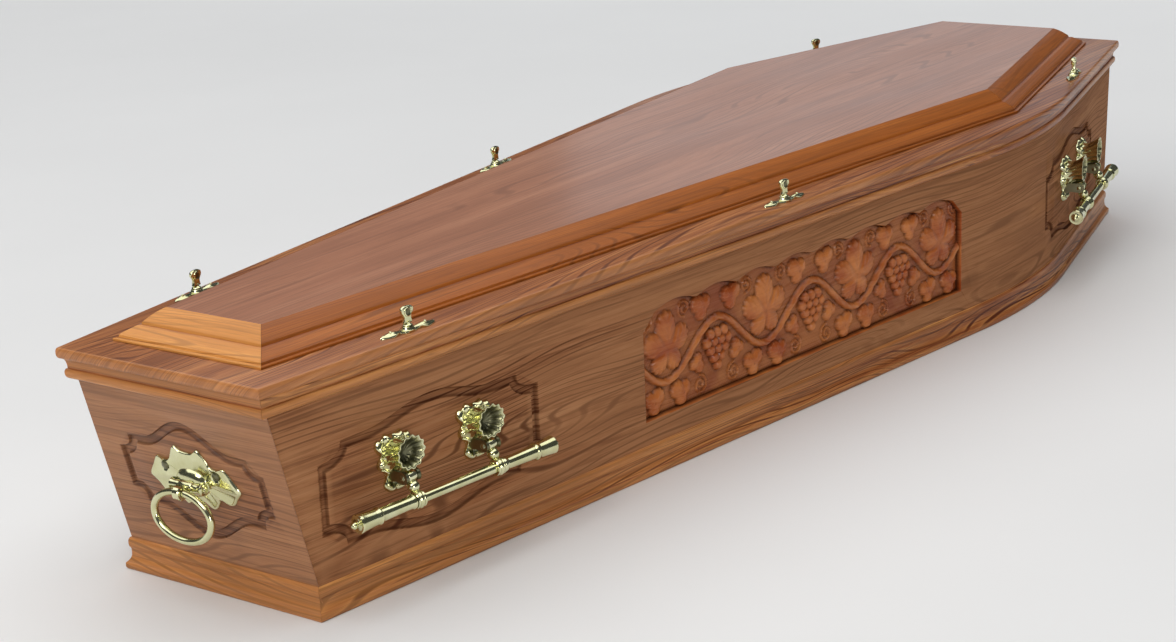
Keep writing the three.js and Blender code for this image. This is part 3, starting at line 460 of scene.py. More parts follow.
def brass(name):
    """Polished pale brassing with dull patches, painted shade in its creases and recesses and
    painted highlights on its edges.
    """
    n = Nodes(name)
    place = n.add("TexCoord").outputs["Object"]
    cloud = n.noise(place, 38, (1, 1, 1), 3)
    fine = n.noise(place, 420, (1, 1, 1), 2)
    colour = n.ramp(cloud, (0.3, linear(204, 202, 152)), (0.7, linear(226, 226, 184)))
    point = n.add("NewGeometry").outputs["Pointiness"]
    # Painted shade in creases
    painted_shade = n.ramp(point, (0.40, 1.0), (0.49, 0.0))
    colour = n.mix(n.times(painted_shade, 0.8), colour, linear(62, 58, 34))
    # Painted highlight on edges
    edge_glint = n.ramp(point, (0.52, 0.0), (0.60, 1.0))
    colour = n.mix(n.times(edge_glint, 0.5), colour, linear(240, 238, 200))
    # Painted shade inside the hoods, on the hinge joints, the ring plate screw heads and the
    # thumbscrew dishes
    recess_shade = n.add("Attribute", attribute_name="painted_shade").outputs["Fac"]
    colour = n.mix(n.times(recess_shade, 0.9, clamp=True), colour, linear(40, 36, 22))
    n.wire(n.shader.inputs["Base Color"], colour)
    rough = n.plus(0.10, n.times(cloud, 0.10))
    rough = n.plus(rough, n.times(recess_shade, 0.2))
    rough = n.plus(rough, n.times(painted_shade, 0.25))
    n.wire(n.shader.inputs["Roughness"], rough)
    bump = n.add("Bump", {"Strength": 0.06, "Distance": 0.0003, "Height": fine})
    n.wire(n.shader.inputs["Normal"], bump.outputs[0])
    n.shader.inputs["Metallic"].default_value = 1.0
    return n.material


BOARD_TONES = (linear(94, 52, 32), linear(156, 104, 69), linear(190, 138, 97))
CASE_TONES = (linear(104, 48, 20), linear(166, 98, 50), linear(230, 164, 96))
# The lid mouldings come as a lit and a shaded copy of one wood: painted light, brighter at the ends
# and darker along the sides
LID_SIDE_SHADED_TONES = (linear(88, 32, 8), linear(148, 74, 22), linear(196, 118, 46))
LID_END_LIT_TONES = (linear(132, 70, 30), linear(196, 122, 54), linear(236, 170, 92))
LEDGE_TONES = (linear(106, 52, 24), linear(163, 99, 54), linear(212, 148, 92))
PANEL_TONES = (linear(108, 62, 47), linear(162, 105, 79), linear(194, 140, 110))

# The side boards take a painted shade towards their head end
side_wood = wood("side_wood", *BOARD_TONES, streaks=1.15, coat=0.06, roughness=0.40, seed=1.7,
                 gloss=0.0, warm=linear(106, 50, 12), carved_coat=0.5)
end_wood = wood("end_wood", *BOARD_TONES, streaks=1.1, coat=0.06, roughness=0.40, seed=7.3)
MOULDING_FINISH = {"coat": 0.08, "roughness": 0.36}
case_moulding_wood = wood("case_moulding_wood", *CASE_TONES, streaks=1.5, seed=3.1,
                          **MOULDING_FINISH)
lid_side_wood_shaded = wood("lid_side_wood_shaded", *LID_SIDE_SHADED_TONES, streaks=1.2, seed=6.4, **MOULDING_FINISH)
lid_end_wood_lit = wood("lid_end_wood_lit", *LID_END_LIT_TONES, streaks=0.9, seed=4.6, **MOULDING_FINISH)
ledge_wood = wood("ledge_wood", *LEDGE_TONES, streaks=1.2, coat=0.2, roughness=0.36, seed=8.4)
panel_wood = wood("panel_wood", *PANEL_TONES, streaks=1.0, coat=0.3, roughness=0.34, seed=5.9)
metal = brass("brass")


# Meshes


def make_piece(name, points, faces, material, slot, body="coffin", grain=None, painted_shade=None,
               carved=None, sharp=MOULDING_SHARP, place=None):
    """A closed piece. grain gives each point's place along and across the wood."""
    points = np.asarray(points, dtype=float)
    if place is not None:
        matrix = np.array(place)
        points = points @ matrix[:3, :3].T + matrix[:3, 3]
    mesh = bpy.data.meshes.new(name)
    mesh.from_pydata((points * MM).tolist(), [], [tuple(int(i) for i in face) for face in faces])
    if grain is not None:
        layer = mesh.uv_layers.new(name="grain")
        index = np.empty(len(mesh.loops), dtype=np.int32)
        mesh.loops.foreach_get("vertex_index", index)
        layer.data.foreach_set("uv", (np.asarray(grain) * MM)[index].astype(np.float32).ravel())
    # The first attribute holds painted shade for each point, the second the carving's own tint
    for label, values in (("painted_shade", painted_shade), ("carved", carved)):
        if values is not None:
            layer = mesh.attributes.new(label, "FLOAT", "POINT")
            layer.data.foreach_set("value", np.asarray(values, dtype=np.float32))
    work = bmesh.new()
    work.from_mesh(mesh)
    bmesh.ops.remove_doubles(work, verts=work.verts, dist=1e-6)
    bmesh.ops.recalc_face_normals(work, faces=work.faces)
    work.to_mesh(mesh)
    work.free()
    mesh.shade_smooth()
    mesh.set_sharp_from_angle(angle=math.radians(sharp))
    mesh.materials.append(material)
    piece = bpy.data.objects.new(name, mesh)
    bpy.context.collection.objects.link(piece)
    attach(piece, body)
    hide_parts(name.removesuffix("_fine"))


def steps_along(points):
    gaps = np.linalg.norm(np.diff(points, axis=0), axis=1)
    return np.concatenate([[0], np.cumsum(gaps)])


def swept(name, profile, stations, mirror, offset, material=case_moulding_wood):
    """A length of moulding: a profile of levels through the stations of each level."""
    rows = np.array([stations(level) for level in profile])
    if mirror:
        rows[..., 1] *= -1
    count, length = rows.shape[:2]
    along = steps_along(rows[0]) + offset
    across = steps_along(rows[:, 0])
    grain = np.stack(np.broadcast_arrays(along[None, :], across[:, None]), axis=-1).reshape(-1, 2)
    faces = []
    for p in range(count):
        q = (p + 1) % count
        for s in range(length - 1):
            faces.append((p * length + s, p * length + s + 1, q * length + s + 1, q * length + s))
    faces.append([p * length for p in range(count)])
    faces.append([p * length + length - 1 for p in reversed(range(count))])
    make_piece(name + "_fine", rows.reshape(-1, 3), faces, material, "moulding", grain=grain)


def curve_point(p0, p1, p2, p3, t):
    """A point of a Catmull-Rom spline, a share t of the way from p1 to p2."""
    return 0.5 * (2 * p1 + (p2 - p0) * t + (2 * p0 - 5 * p1 + 4 * p2 - p3) * t**2
                  + (3 * p1 - p0 - 3 * p2 + p3) * t**3)


def rounded(points, steps=4):
    """A smooth curve through points."""
    points = np.asarray(points, dtype=float)
    padded = np.concatenate([[2 * points[0] - points[1]], points, [2 * points[-1] - points[-2]]])
    result = [curve_point(*padded[i : i + 4], step / steps)
              for i in range(len(points) - 1) for step in range(steps)]
    return np.array([*result, points[-1]])


def smooth_loop(points, steps):
    """A closed curve through points."""
    points = np.asarray(points, dtype=float)
    neighbours = zip(np.roll(points, 1, 0), points, np.roll(points, -1, 0), np.roll(points, -2, 0))
    return np.array([curve_point(*four, step / steps) for four in neighbours
                     for step in range(steps)])


# Mouldings


def base_profile():
    foot, head = wall_level(BASE_MOULDING_HEIGHT)[1:3]
    side = wall_level(BASE_MOULDING_HEIGHT)[0]
    bead = rounded([(6.2, 0), (7.7, 1.6), (8.0, 4.6), (7.6, 7.4), (5.8, 9.0)], 3)
    cove = rounded([(5.8, 9.0), (3.6, 11.6), (2.0, 15), (1.4, 20), (1.6, 25)], 3)[1:]
    top = rounded([(1.6, 25), (3.0, 27.6), (3.5, 31), (3.3, 35), (2.2, 37.6), (1.3, 38.6)], 3)[1:]
    outer = [(side - o, foot - o, head - o, z) for o, z in (*bead, *cove, *top)]
    back = [wall_level(BASE_MOULDING_HEIGHT, -JOINT_GAP), wall_level(0, -JOINT_GAP)]
    return outer + back


def rim_profile():
    top = CASE_HEIGHT
    bottom = top - RIM_MOULDING_HEIGHT
    angles = np.linspace(0, math.pi / 2, 9)
    cove = [lid_level(4.5 + 3.7 * math.sin(a), top - 11.5 * (1 - math.cos(a))) for a in angles]
    band = rounded([(6.4, top - 12.4), (5.4, top - 14.6), (5.2, top - 17.4), (5.8, top - 20.6),
                    (7.2, bottom + 1.2), (9.2, bottom)], 3)
    return [
        wall_level(bottom, -JOINT_GAP),
        wall_level(top, -JOINT_GAP),
        *cove,
        *(lid_level(inset, z) for inset, z in band),
    ]


def lid_moulding_profile():
    seat = LID_TOP - LID_PANEL - LEDGE
    shape = [(48, JOINT_GAP), (48, 2.4), (48.5, 3.0), (52.6, 3.4), (53.2, 4.2)]
    shape += [tuple(p) for p in rounded([(53.4, 6.0), (57, 8.6), (62, 11.2), (67.4, 14.0)], 3)]
    shape += [(68.2, 14.4), (72.6, 15.4), (73.2, 16.2), (73.5, 17.4)]
    shape += [tuple(p) for p in rounded([(74.4, 18.6), (80, 23.2), (87, 28.2), (93.6, 31.8)], 3)]
    shape += [(94.4, 32.3), (LID_PANEL_INSET, 32.5), (LID_PANEL_INSET, seat)]
    shape += [(LID_PANEL_INSET + 15, seat), (LID_PANEL_INSET + 15, JOINT_GAP)]
    return [lid_level(inset, LEDGE + rise) for inset, rise in shape]


# Each run's stations and whether it is mirrored. The numbers shift the grain from run to run.
ends = {"foot": (foot_stations, False), "head": (head_stations, False)}
runs = {**ends, "left": (side_stations, False), "right": (side_stations, True)}
for number, (where, (stations, mirror)) in enumerate(runs.items()):
    swept(f"base_moulding_{where}", base_profile(), stations, mirror, 900 * number)
    swept(f"rim_moulding_{where}", rim_profile(), stations, mirror, 700 * number + 300)
lid_runs = {**ends, "left_long": (long_stations, False), "left_short": (short_stations, False),
            "right_long": (long_stations, True), "right_short": (short_stations, True)}
for number, (where, (stations, mirror)) in enumerate(lid_runs.items()):
    # Painted light: the ends take the lit copy of the lid moulding wood, the sides the shaded copy
    material = lid_end_wood_lit if where in ("foot", "head") else lid_side_wood_shaded
    swept(f"lid_moulding_{where}", lid_moulding_profile(), stations, mirror, 800 * number + 100,
          material)


def skin(sections, loop=False):
    """A closed body through equal sections, capped at both ends or joined in a loop."""
    sections = np.asarray(sections, dtype=float)
    rows, count = sections.shape[:2]
    faces = []
    for r in range(rows if loop else rows - 1):
        n = (r + 1) % rows
        for i in range(count):
            j = (i + 1) % count
            faces.append((r * count + i, r * count + j, n * count + j, n * count + i))
    if not loop:
        faces += [tuple(range(count)), tuple(range((rows - 1) * count, rows * count))]
    return sections.reshape(-1, 3), faces


def slab(name, levels, material, slot, straight=False):
    """A whole board made of closed rings from the bottom up, with its grain along X."""
    rings = []
    for level in levels:
        if straight:
            left = [(x, y, level[3]) for x, y in corners(level)]
        else:
            left = side_stations(level, 0)
        rings.append(left + [(x, -y, z) for x, y, z in reversed(left)])
    points, faces = skin(rings)
    grain = np.stack([points[:, 0], points[:, 1] + points[:, 2]], axis=-1)
    make_piece(name + "_fine", points, faces, material, slot, grain=grain)


nose = rounded([(4.5, LID_UNDERSIDE), (1.6, LID_UNDERSIDE + 1.0), (0.2, LID_UNDERSIDE + 4),
                (0, LID_UNDERSIDE + 7), (0.2, LEDGE - 4), (1.6, LEDGE - 1.0), (4.5, LEDGE)], 3)
slab("lid_board", [lid_level(inset, z) for inset, z in nose], ledge_wood, "lid")
panel_edge = LID_PANEL_INSET + JOINT_GAP
slab("lid_panel", [lid_level(panel_edge, LID_TOP - LID_PANEL + JOINT_GAP),
                   lid_level(panel_edge, LID_TOP - 0.5), lid_level(panel_edge + 0.5, LID_TOP)],
     panel_wood, "lid", straight=True)
slab("base_board", [wall_level(0), wall_level(BASE_BOARD)], side_wood, "board")

# Routed and carved boards


def routed_outline(length, height, scoop_length, scoop_height, arch, arch_length, _):
    """A closed outline with straight sides, scooped corners and an arch above and below."""
    a, b = length / 2, height / 2
    angles = np.linspace(1.5 * math.pi, math.pi, 13)
    corner = (a, b) + np.stack([np.cos(angles), np.sin(angles)], -1) * (scoop_length, scoop_height)
    x = np.linspace(arch_length / 2, 0, 19)
    crown = np.stack([x, b + arch * (1 + np.cos(2 * math.pi * x / arch_length)) / 2], axis=-1)
    quarter = np.concatenate([corner, crown])
    left = quarter[:-1][::-1] * (-1, 1)
    top = np.concatenate([quarter, left])
    return np.concatenate([top, top * (-1, -1)])


def offset_loop(loop, distance):
    """A closed loop moved sideways, with mitred corners."""
    inward = loop - np.roll(loop, 1, axis=0)
    onward = np.roll(loop, -1, axis=0) - loop
    inward /= np.linalg.norm(inward, axis=1, keepdims=True)
    onward /= np.linalg.norm(onward, axis=1, keepdims=True)
    middle = inward + onward
    middle /= np.linalg.norm(middle, axis=1, keepdims=True)
    side = np.stack([middle[:, 1], -middle[:, 0]], axis=-1)
    return loop + side * distance / (middle * onward).sum(axis=1, keepdims=True)


def loop_distance(points, loop):
    """Each point's distance from a closed loop."""
    span = np.roll(loop, -1, axis=0) - loop
    best = np.full(len(points), np.inf)
    for origin, along in zip(loop, span):
        rel = points - origin
        share = np.clip(rel @ along / (along @ along), 0, 1)
        best = np.minimum(best, np.linalg.norm(rel - share[:, None] * along, axis=1))
    return best


def groove(points, loops):
    """The height and the painted shade at each point of a face with grooves along closed loops."""
    distance = np.min([loop_distance(points, loop) for loop in loops], axis=0)
    reach, height, groove_shade = zip(*GROOVE_SHAPE)
    return np.interp(distance, reach, height), np.interp(distance, reach, groove_shade)


def ring_edges(first, count):
    return [(first + i, first + (i + 1) % count) for i in range(count)]


def flat_triangles(outline, lines, loops, holes):
    """Triangles of a flat board face. Lines and loops become edges, and holes are left open."""
    vertices = [tuple(p) for p in outline]
    edges = ring_edges(0, len(outline))
    for line in lines:
        edges += [(len(vertices) + i, len(vertices) + i + 1) for i in range(len(line) - 1)]
        vertices += [tuple(p) for p in line]
    for loop in (*loops, *holes):
        edges += ring_edges(len(vertices), len(loop))
        vertices += [tuple(p) for p in loop]
    found = delaunay_2d_cdt([Vector(v) for v in vertices], edges, [], 1, 1e-4)
    points = np.array([tuple(v) for v in found[0]])
    triangles = np.array([tuple(f) for f in found[2]])
    middles = points[triangles].mean(axis=1)
    keep = np.ones(len(triangles), dtype=bool)
    for hole in holes:
        keep &= ~inside(middles, np.asarray(hole))
    return points, triangles[keep]


def inside(points, loop):
    """Which points lie inside a closed loop."""
    result = np.zeros(len(points), dtype=bool)
    for (x0, y0), (x1, y1) in zip(loop, np.roll(loop, -1, axis=0)):
        if y0 == y1:
            continue
        crosses = (points[:, 1] > min(y0, y1)) & (points[:, 1] <= max(y0, y1))
        crosses &= points[:, 0] < x0 + (points[:, 1] - y0) * (x1 - x0) / (y1 - y0)
        result ^= crosses
    return result


def field_top(x):
    """The height of the carved field's scalloped upper edge above its middle."""
    half, b = CARVING_LENGTH / 2, CARVING_HEIGHT / 2
    lobe = (CARVING_LENGTH - 2 * CARVING_CORNER) / CARVING_SCALLOPS
    scallop = CARVING_SCALLOP_RISE * np.abs(np.sin(math.pi * (x + half - CARVING_CORNER) / lobe))
    corner = np.minimum(half - np.abs(x), CARVING_CORNER) - CARVING_CORNER
    return b + np.where(np.abs(x) > half - CARVING_CORNER, corner, scallop)


def vine_height(x):
    return VINE_SWING * np.cos(2 * math.pi * VINE_WAVES * x / CARVING_LENGTH)


def vine_form(x, y):
    slope = (vine_height(x + 0.5) - vine_height(x - 0.5))
    distance = (y - vine_height(x)) / np.sqrt(1 + slope**2)
    twist = 0.5 * np.sin(0.42 * x + distance * 0.9)
    share = distance / (VINE_THICKNESS * 0.55)
    return (VINE_HEIGHT + twist) * np.sqrt(np.clip(1 - share**2, 0, 1))


def leaf_form(x, y, centre_x, centre_y, radius, turn, lobes):
    dx, dy = x - centre_x, y - centre_y
    r = np.hypot(dx, dy)
    angle = np.arctan2(dy, dx) - turn
    lobe = np.abs(np.cos(angle * lobes / 2))
    reach = radius * (0.85 + 0.15 * np.cos(angle)) * (0.60 + 0.40 * lobe**0.8)
    reach *= 1 + 0.025 * np.cos(angle * lobes * 6)
    t = r / reach
    period = 2 * math.pi / lobes
    from_axis = (angle + period / 2) % period - period / 2
    across = np.abs(r * np.sin(from_axis))
    vein = 1.3 * np.exp(-((across / (0.035 * radius + 0.3)) ** 2)) * np.clip(1.05 - t, 0, 1)
    ribs = 0.35 * np.cos((r - 1.3 * across) * 2 * math.pi / (0.17 * radius + 2)) * (across > 1)
    swell = 1 - np.clip(t, 0, 1) ** 2
    height = 2.6 + 4.2 * swell**0.7 + 1.6 * np.cos(from_axis * lobes / 2) ** 2 * np.sqrt(swell)
    height += ribs - vein
    return np.where(t < 1, height * np.clip((1 - t) / 0.05, 0, 1) ** 0.5, 0)


def bunch_form(x, y, centre_x, centre_y):
    height = np.zeros_like(x)
    spacing = GRAPE_RADIUS * 1.72
    for row, count in enumerate(BUNCH_ROWS):
        for i in range(count):
            gx = centre_x + (i - (count - 1) / 2) * spacing
            gy = centre_y + 8 - row * spacing * 0.82
            squared = (x - gx) ** 2 + (y - gy) ** 2
            dome = np.sqrt(np.clip(GRAPE_RADIUS**2 - squared, 0, None))
            height = np.maximum(height, np.where(dome > 0, dome + 1.2, 0))
    return height


def curl_form(x, y, centre_x, centre_y, turn, hand, size):
    """A tendril: a thin ridge along a spiral."""
    share = np.linspace(0, 1, 40)
    angle = turn + hand * share * CURL_TURNS * 2 * math.pi
    radius = size * (1 - 0.8 * share)
    height = np.zeros_like(x)
    for px, py, thick in zip(centre_x + radius * np.cos(angle), centre_y + radius * np.sin(angle),
                             1.9 - 0.6 * share):
        squared = (x - px) ** 2 + (y - py) ** 2
        height = np.maximum(height, np.sqrt(np.clip(1 - squared / thick**2, 0, 1)) * 3.6)
    return height


def carved_forms(x, y):
    """The height of the vine, leaves and grapes above the field's floor."""
    half = CARVING_LENGTH / (2 * VINE_WAVES)
    last = VINE_WAVES - 0.5
    tooling = np.sin(1.15 * x + np.sin(0.31 * y))
    forms = [0.7 + 0.45 * tooling * np.sin(1.3 * y + np.sin(0.23 * x)), vine_form(x, y)]
    for i in np.arange(-last, last + 1):
        middle = i * half
        rise = np.sign(vine_height(middle))
        if rise > 0:
            forms.append(bunch_form(x, y, middle, BUNCH_HEIGHT))
        else:
            forms.append(leaf_form(x, y, middle, LEAF_HEIGHT, LEAF_RADIUS, math.pi / 2, 5))
        for way in (-1, 1):
            turn = math.pi / 2 - way * rise
            bud_x = middle + way * BUD_LEAF_SPACING / 2
            forms.append(leaf_form(x, y, bud_x, rise * BUD_LEAF_HEIGHT, BUD_LEAF_RADIUS, turn, 3))
            if rise > 0:
                offset, height, radius = SMALL_LEAF
                turn = math.pi * (0.5 + 0.78 * way)
                forms.append(leaf_form(x, y, middle + way * offset, height, radius, turn, 3))
            offset, height, size = LOW_CURL if rise > 0 else HIGH_CURL
            forms.append(curl_form(x, y, middle + way * offset, height, rise * math.pi / 2,
                                   rise * way, size))
    return np.max(np.stack(forms), axis=0)


def blurred(field, reach):
    """A field averaged over a square of neighbours."""
    for axis in (0, 1):
        padded = np.concatenate([np.repeat(field.take([0], axis), reach + 1, axis), field,
                                 np.repeat(field.take([-1], axis), reach, axis)], axis)
        total = np.cumsum(padded, axis)
        size = 2 * reach + 1
        end = total.take(range(size, total.shape[axis]), axis)
        field = (end - total.take(range(total.shape[axis] - size), axis)) / size
    return field


def carved_field():
    """The carved field as x, y, height out of the face and painted shade in its hollows, on a grid.
    """
    half, b = CARVING_LENGTH / 2, CARVING_HEIGHT / 2
    lip = (0.0, 0.5, 2.0)
    columns = round((CARVING_LENGTH - 4) / CARVING_GRID)
    xs = np.concatenate([-half + np.array(lip[:2]), np.linspace(2 - half, half - 2, columns),
                         half - np.array(lip[1::-1])])
    rows = round(CARVING_HEIGHT / CARVING_GRID)
    top = field_top(xs)[:, None]
    inner = np.linspace(0, 1, rows)[None, :]
    middle = (2 - b) + (top - 2 - (2 - b)) * inner
    low = np.broadcast_to(-b + np.array(lip[:2]), (len(xs), 2))
    ys = np.concatenate([low, middle, top - np.array(lip[1::-1])], axis=1)
    x = np.broadcast_to(xs[:, None], ys.shape)
    edge = np.minimum(np.minimum(x + half, half - x), np.minimum(ys + b, top - ys))
    wall = np.interp(edge, lip, (0, -1.0, -CARVING_DEPTH))
    forms = carved_forms(x, ys) * np.clip((edge - 1.5) / 1.5, 0, 1)
    out = np.maximum(wall, -CARVING_DEPTH + np.minimum(forms, CARVING_DEPTH - 0.5))
    # Painted shade: darker in the carving's crevices and on its deeper floor
    painted_shade = np.clip((blurred(out, 3) - out) / 4.5, 0, 1)
    painted_shade += 0.25 * np.clip(-out / CARVING_DEPTH, 0, 1)
    return x, ys, out, painted_shade


def grid_faces(first, columns, rows):
    return [(first + i * rows + j, first + (i + 1) * rows + j, first + (i + 1) * rows + j + 1,
             first + i * rows + j + 1) for i in range(columns - 1) for j in range(rows - 1)]


def side_board(side, field):
    bottom_level = wall_level(BASE_BOARD + JOINT_GAP)
    top_level = wall_level(CASE_HEIGHT)
    rows = []
    for level in (bottom_level, top_level):
        stations = np.array(side_stations(level))
        radius = bend(level)[2]
        turns = np.linspace(-BEND_ANGLE / 2, BEND_ANGLE / 2, BEND_STEPS + 1) * radius
        foot = turns[0] - np.linalg.norm(stations[1] - stations[0])
        head = turns[-1] + np.linalg.norm(stations[-1] - stations[-2])
        rows.append(np.array([(distance, level[3]) for distance in (foot, *turns, head)]))
    bottom, top = rows
    outline = np.concatenate([bottom, top[::-1]])
    lines = [(low, high) for low, high in zip(bottom[1:-1], top[1:-1])]
    places = [np.array([wall_distance(x, SIDE_FRAME[-1]), SIDE_FRAME[-1]])
              for x in HANDLES_FROM_FOOT.values()]
    frames = [routed_outline(*SIDE_FRAME) + place for place in places]
    loops = [offset_loop(loop, d) for loop in frames for d in GROOVE_OFFSETS]
    x, y, out, painted_shade = field
    centre = wall_distance(CARVING_FROM_FOOT, CARVING_CENTRE)
    s, z = x + centre, y + CARVING_CENTRE
    rim = [(s[i, 0], z[i, 0]) for i in range(len(s))]
    rim += [(s[-1, j], z[-1, j]) for j in range(1, s.shape[1])]
    rim += [(s[i, -1], z[i, -1]) for i in range(len(s) - 2, -1, -1)]
    rim += [(s[0, j], z[0, j]) for j in range(s.shape[1] - 2, 0, -1)]
    flat, triangles = flat_triangles(outline, lines, loops, [rim])
    depth, groove_shade = groove(flat, frames)
    carved = np.stack([s.ravel(), z.ravel(), out.ravel()], axis=-1)
    face = np.concatenate([np.column_stack([flat, depth]), carved])
    points = left_wall(face[:, 0], face[:, 1], face[:, 2])
    faces = [tuple(t) for t in triangles] + grid_faces(len(flat), *s.shape)
    outer = np.concatenate([bottom, top])
    inner = np.array(side_stations(wall_level(bottom_level[3], WALL))
                     + side_stations(wall_level(CASE_HEIGHT, WALL)))
    count = len(bottom)
    first = len(points)
    points = np.concatenate([points, left_wall(outer[:, 0], outer[:, 1], 0.0), inner])
    low_out, high_out, low_in, high_in = (first + count * k for k in range(4))
    for i in range(count - 1):
        faces.append((low_out + i, low_out + i + 1, low_in + i + 1, low_in + i))
        faces.append((high_out + i, high_out + i + 1, high_in + i + 1, high_in + i))
        faces.append((low_in + i, low_in + i + 1, high_in + i + 1, high_in + i))
    for i in (0, count - 1):
        faces.append((low_out + i, high_out + i, high_in + i, low_in + i))
    grain = np.concatenate([face[:, :2], outer, outer + BACK_GRAIN])
    # Painted shade in the routed grooves and the carving's crevices, none on the edges and back
    painted_shades = np.concatenate([groove_shade, painted_shade.ravel(), np.zeros(4 * count)])
    form = np.clip(-out / 0.4, 0, 1) * (0.7 + 0.3 * np.clip((out + CARVING_DEPTH) / 4, 0, 1))
    carved = np.concatenate([np.zeros(len(flat)), form.ravel(), np.zeros(4 * count)])
    if side == "right":
        points = points * (1, -1, 1)
        grain = grain + RIGHT_GRAIN
    make_piece(f"side_board_{side}_fine", points, faces, side_wood, "board", grain=grain,
               painted_shade=painted_shades, carved=carved, sharp=BOARD_SHARP)


def end_board(end):
    stations = foot_stations if end == "foot" else head_stations
    lean = FOOT_LEAN if end == "foot" else HEAD_LEAN
    slope = math.cos(math.atan(lean / CASE_HEIGHT))
    levels = [wall_level(BASE_BOARD + JOINT_GAP), wall_level(CASE_HEIGHT)]
    bottom, top = (sorted(p[1] for p in stations(level)) for level in levels)
    low, high = (level[3] / slope for level in levels)
    centre = END_FRAME[-1] / slope
    outline = np.array([(bottom[0], low), (bottom[1], low), (top[1], high), (top[0], high)])
    loop = routed_outline(*END_FRAME) + (0, centre)
    loops = [offset_loop(loop, d) for d in GROOVE_OFFSETS]
    flat, triangles = flat_triangles(outline, [], loops, [])
    depth, groove_shade = groove(flat, [loop])
    place = end_frame(end, END_FRAME[-1])
    local = np.column_stack([flat[:, 0], flat[:, 1] - centre, depth, np.ones(len(flat))])
    points = (local @ np.array(place).T)[:, :3]
    corners_out = np.column_stack([outline[:, 0], outline[:, 1] - centre, np.zeros(4), np.ones(4)])
    corners_out = (corners_out @ np.array(place).T)[:, :3]
    inner = [p for z in (levels[0][3], CASE_HEIGHT)
             for p in sorted(stations(wall_level(z, WALL)), key=lambda q: q[1])]
    inner = np.array([inner[0], inner[1], inner[3], inner[2]])
    if end == "foot":
        inner = inner[[1, 0, 3, 2]]
    first = len(points)
    faces = [tuple(t) for t in triangles]
    for i in range(4):
        j = (i + 1) % 4
        faces.append((first + i, first + j, first + 4 + j, first + 4 + i))
    faces.append(tuple(first + 4 + i for i in range(4)))
    points = np.concatenate([points, corners_out, inner])
    grain = np.concatenate([flat, outline, outline + BACK_GRAIN])
    # Painted shade in the routed groove
    painted_shades = np.concatenate([groove_shade, np.zeros(8)])
    make_piece(f"{end}_board_fine", points, faces, end_wood, "board", grain=grain, painted_shade=painted_shades,
               sharp=BOARD_SHARP)


relief = carved_field()
for side in ("left", "right"):
    side_board(side, relief)
for end in ("foot", "head"):
    end_board(end)

# Bodies for the hardware, each an array of points and a list of faces


def brass_piece(name, shape, place, body="coffin", painted_shade=None):
    make_piece(name + "_fine", *shape, metal, "brass", body, painted_shade=painted_shade, sharp=METAL_SHARP,
               place=place)


def together(*bodies):
    points, faces, first = [], [], 0
    for some_points, some_faces in bodies:
        faces += [tuple(i + first for i in face) for face in some_faces]
        points.append(some_points)
        first += len(some_points)
    return np.concatenate(points), faces


def moved(body, x=0.0, y=0.0, z=0.0):
    return body[0] + (x, y, z), body[1]


def turned(body, angle, axis):
    matrix = np.array(Matrix.Rotation(angle, 3, axis))
    return body[0] @ matrix.T, body[1]


def circle(sides):
    return np.linspace(0, 2 * math.pi, sides, endpoint=False)


def lathe(profile, sides, loop=False):
    """A body turned about Z from pairs of radius and height."""
    angle = circle(sides)
    return skin([np.stack([r * np.cos(angle), r * np.sin(angle), np.full(sides, float(h))], -1)
                 for r, h in profile], loop)


def lathe_along(profile, sides, y, z, loop=False):
    """A body turned about an axis along the wall, placed up the wall and out of it."""
    return moved(turned(lathe(profile, sides, loop), math.pi / 2, "Y"), y=y, z=z)


def with_mirror(half):
    """A lathe profile with its mirror image before it."""
    return [(r, -x) for r, x in reversed(half)] + half


def ball_profile(radius, centre, start, stop, steps=14):
    angles = np.radians(np.linspace(start, stop, steps + 1))
    return [(max(radius * math.cos(a), 0.05), centre + radius * math.sin(a)) for a in angles]


def both_sides(half):
    return np.array(half + [(-x, y) for x, y in reversed(half)], dtype=float)


def relief_plate(outline, height, rings, centre=(0.0, 0.0)):
    """A cast plate with a flat back. height(share out to the edge, x, y) gives the front."""
    centre = np.asarray(centre)
    shares = 1 - np.linspace(0, 1, rings) ** 1.3 * 0.98
    sections = [np.column_stack([outline, np.full(len(outline), JOINT_GAP)])]
    for share in shares:
        flat = centre + (outline - centre) * share
        sections.append(np.column_stack([flat, height(share, flat[:, 0], flat[:, 1])]))
    return skin(sections)


def thick_shape(outline, thickness, bevel=0.7):
    """A flat shape in X and Y with eased edges, centred on Z."""
    half = thickness / 2
    small = offset_loop(outline, -bevel)
    middle = offset_loop(outline, -bevel * 0.3)
    rows = [(small, -half), (middle, bevel * 0.3 - half), (outline, bevel - half),
            (outline, half - bevel), (middle, half - bevel * 0.3), (small, half)]
    return skin([np.column_stack([row, np.full(len(row), z)]) for row, z in rows])


def across_body(body):
    """Turns a body drawn with X out and Y up so that its thickness runs along the wall."""
    points, faces = body
    return points[:, [2, 1, 0]] * (-1, 1, 1), faces


# Bar handles

HOOD_SIDES = 72
HOOD_LIP_SECTION = 22
BRACKET_EDGE = [(0.3, -1), (0.55, -0.86), (0.62, -0.7), (0.5, -0.44), (0.62, -0.26),
                (0.86, -0.12), (0.9, 0.08), (0.72, 0.28), (0.84, 0.42), (1, 0.64), (0.86, 0.86),
                (0.62, 0.84), (0.45, 1), (0.16, 0.94)]


def bracket_height(share, x, y):
    """Leaves that curl up to a rolled edge, parted by deep grooves."""
    angle = np.arctan2(y - 2, x)
    leaf = np.abs(np.sin(angle * 5.5 + 0.9 * np.sin(angle)))
    roll = np.exp(-(((share - 0.84) / 0.11) ** 2))
    rim = np.clip((1 - share) / 0.06, 0, 1) ** 0.5
    vein = np.cos(angle * 22 + share * 3) * np.clip(1 - abs(share - 0.62) / 0.34, 0, 1)
    return 1.0 + rim * (1.8 + 4.6 * roll * leaf**0.7 + 1.4 * leaf * share + 0.45 * vein)


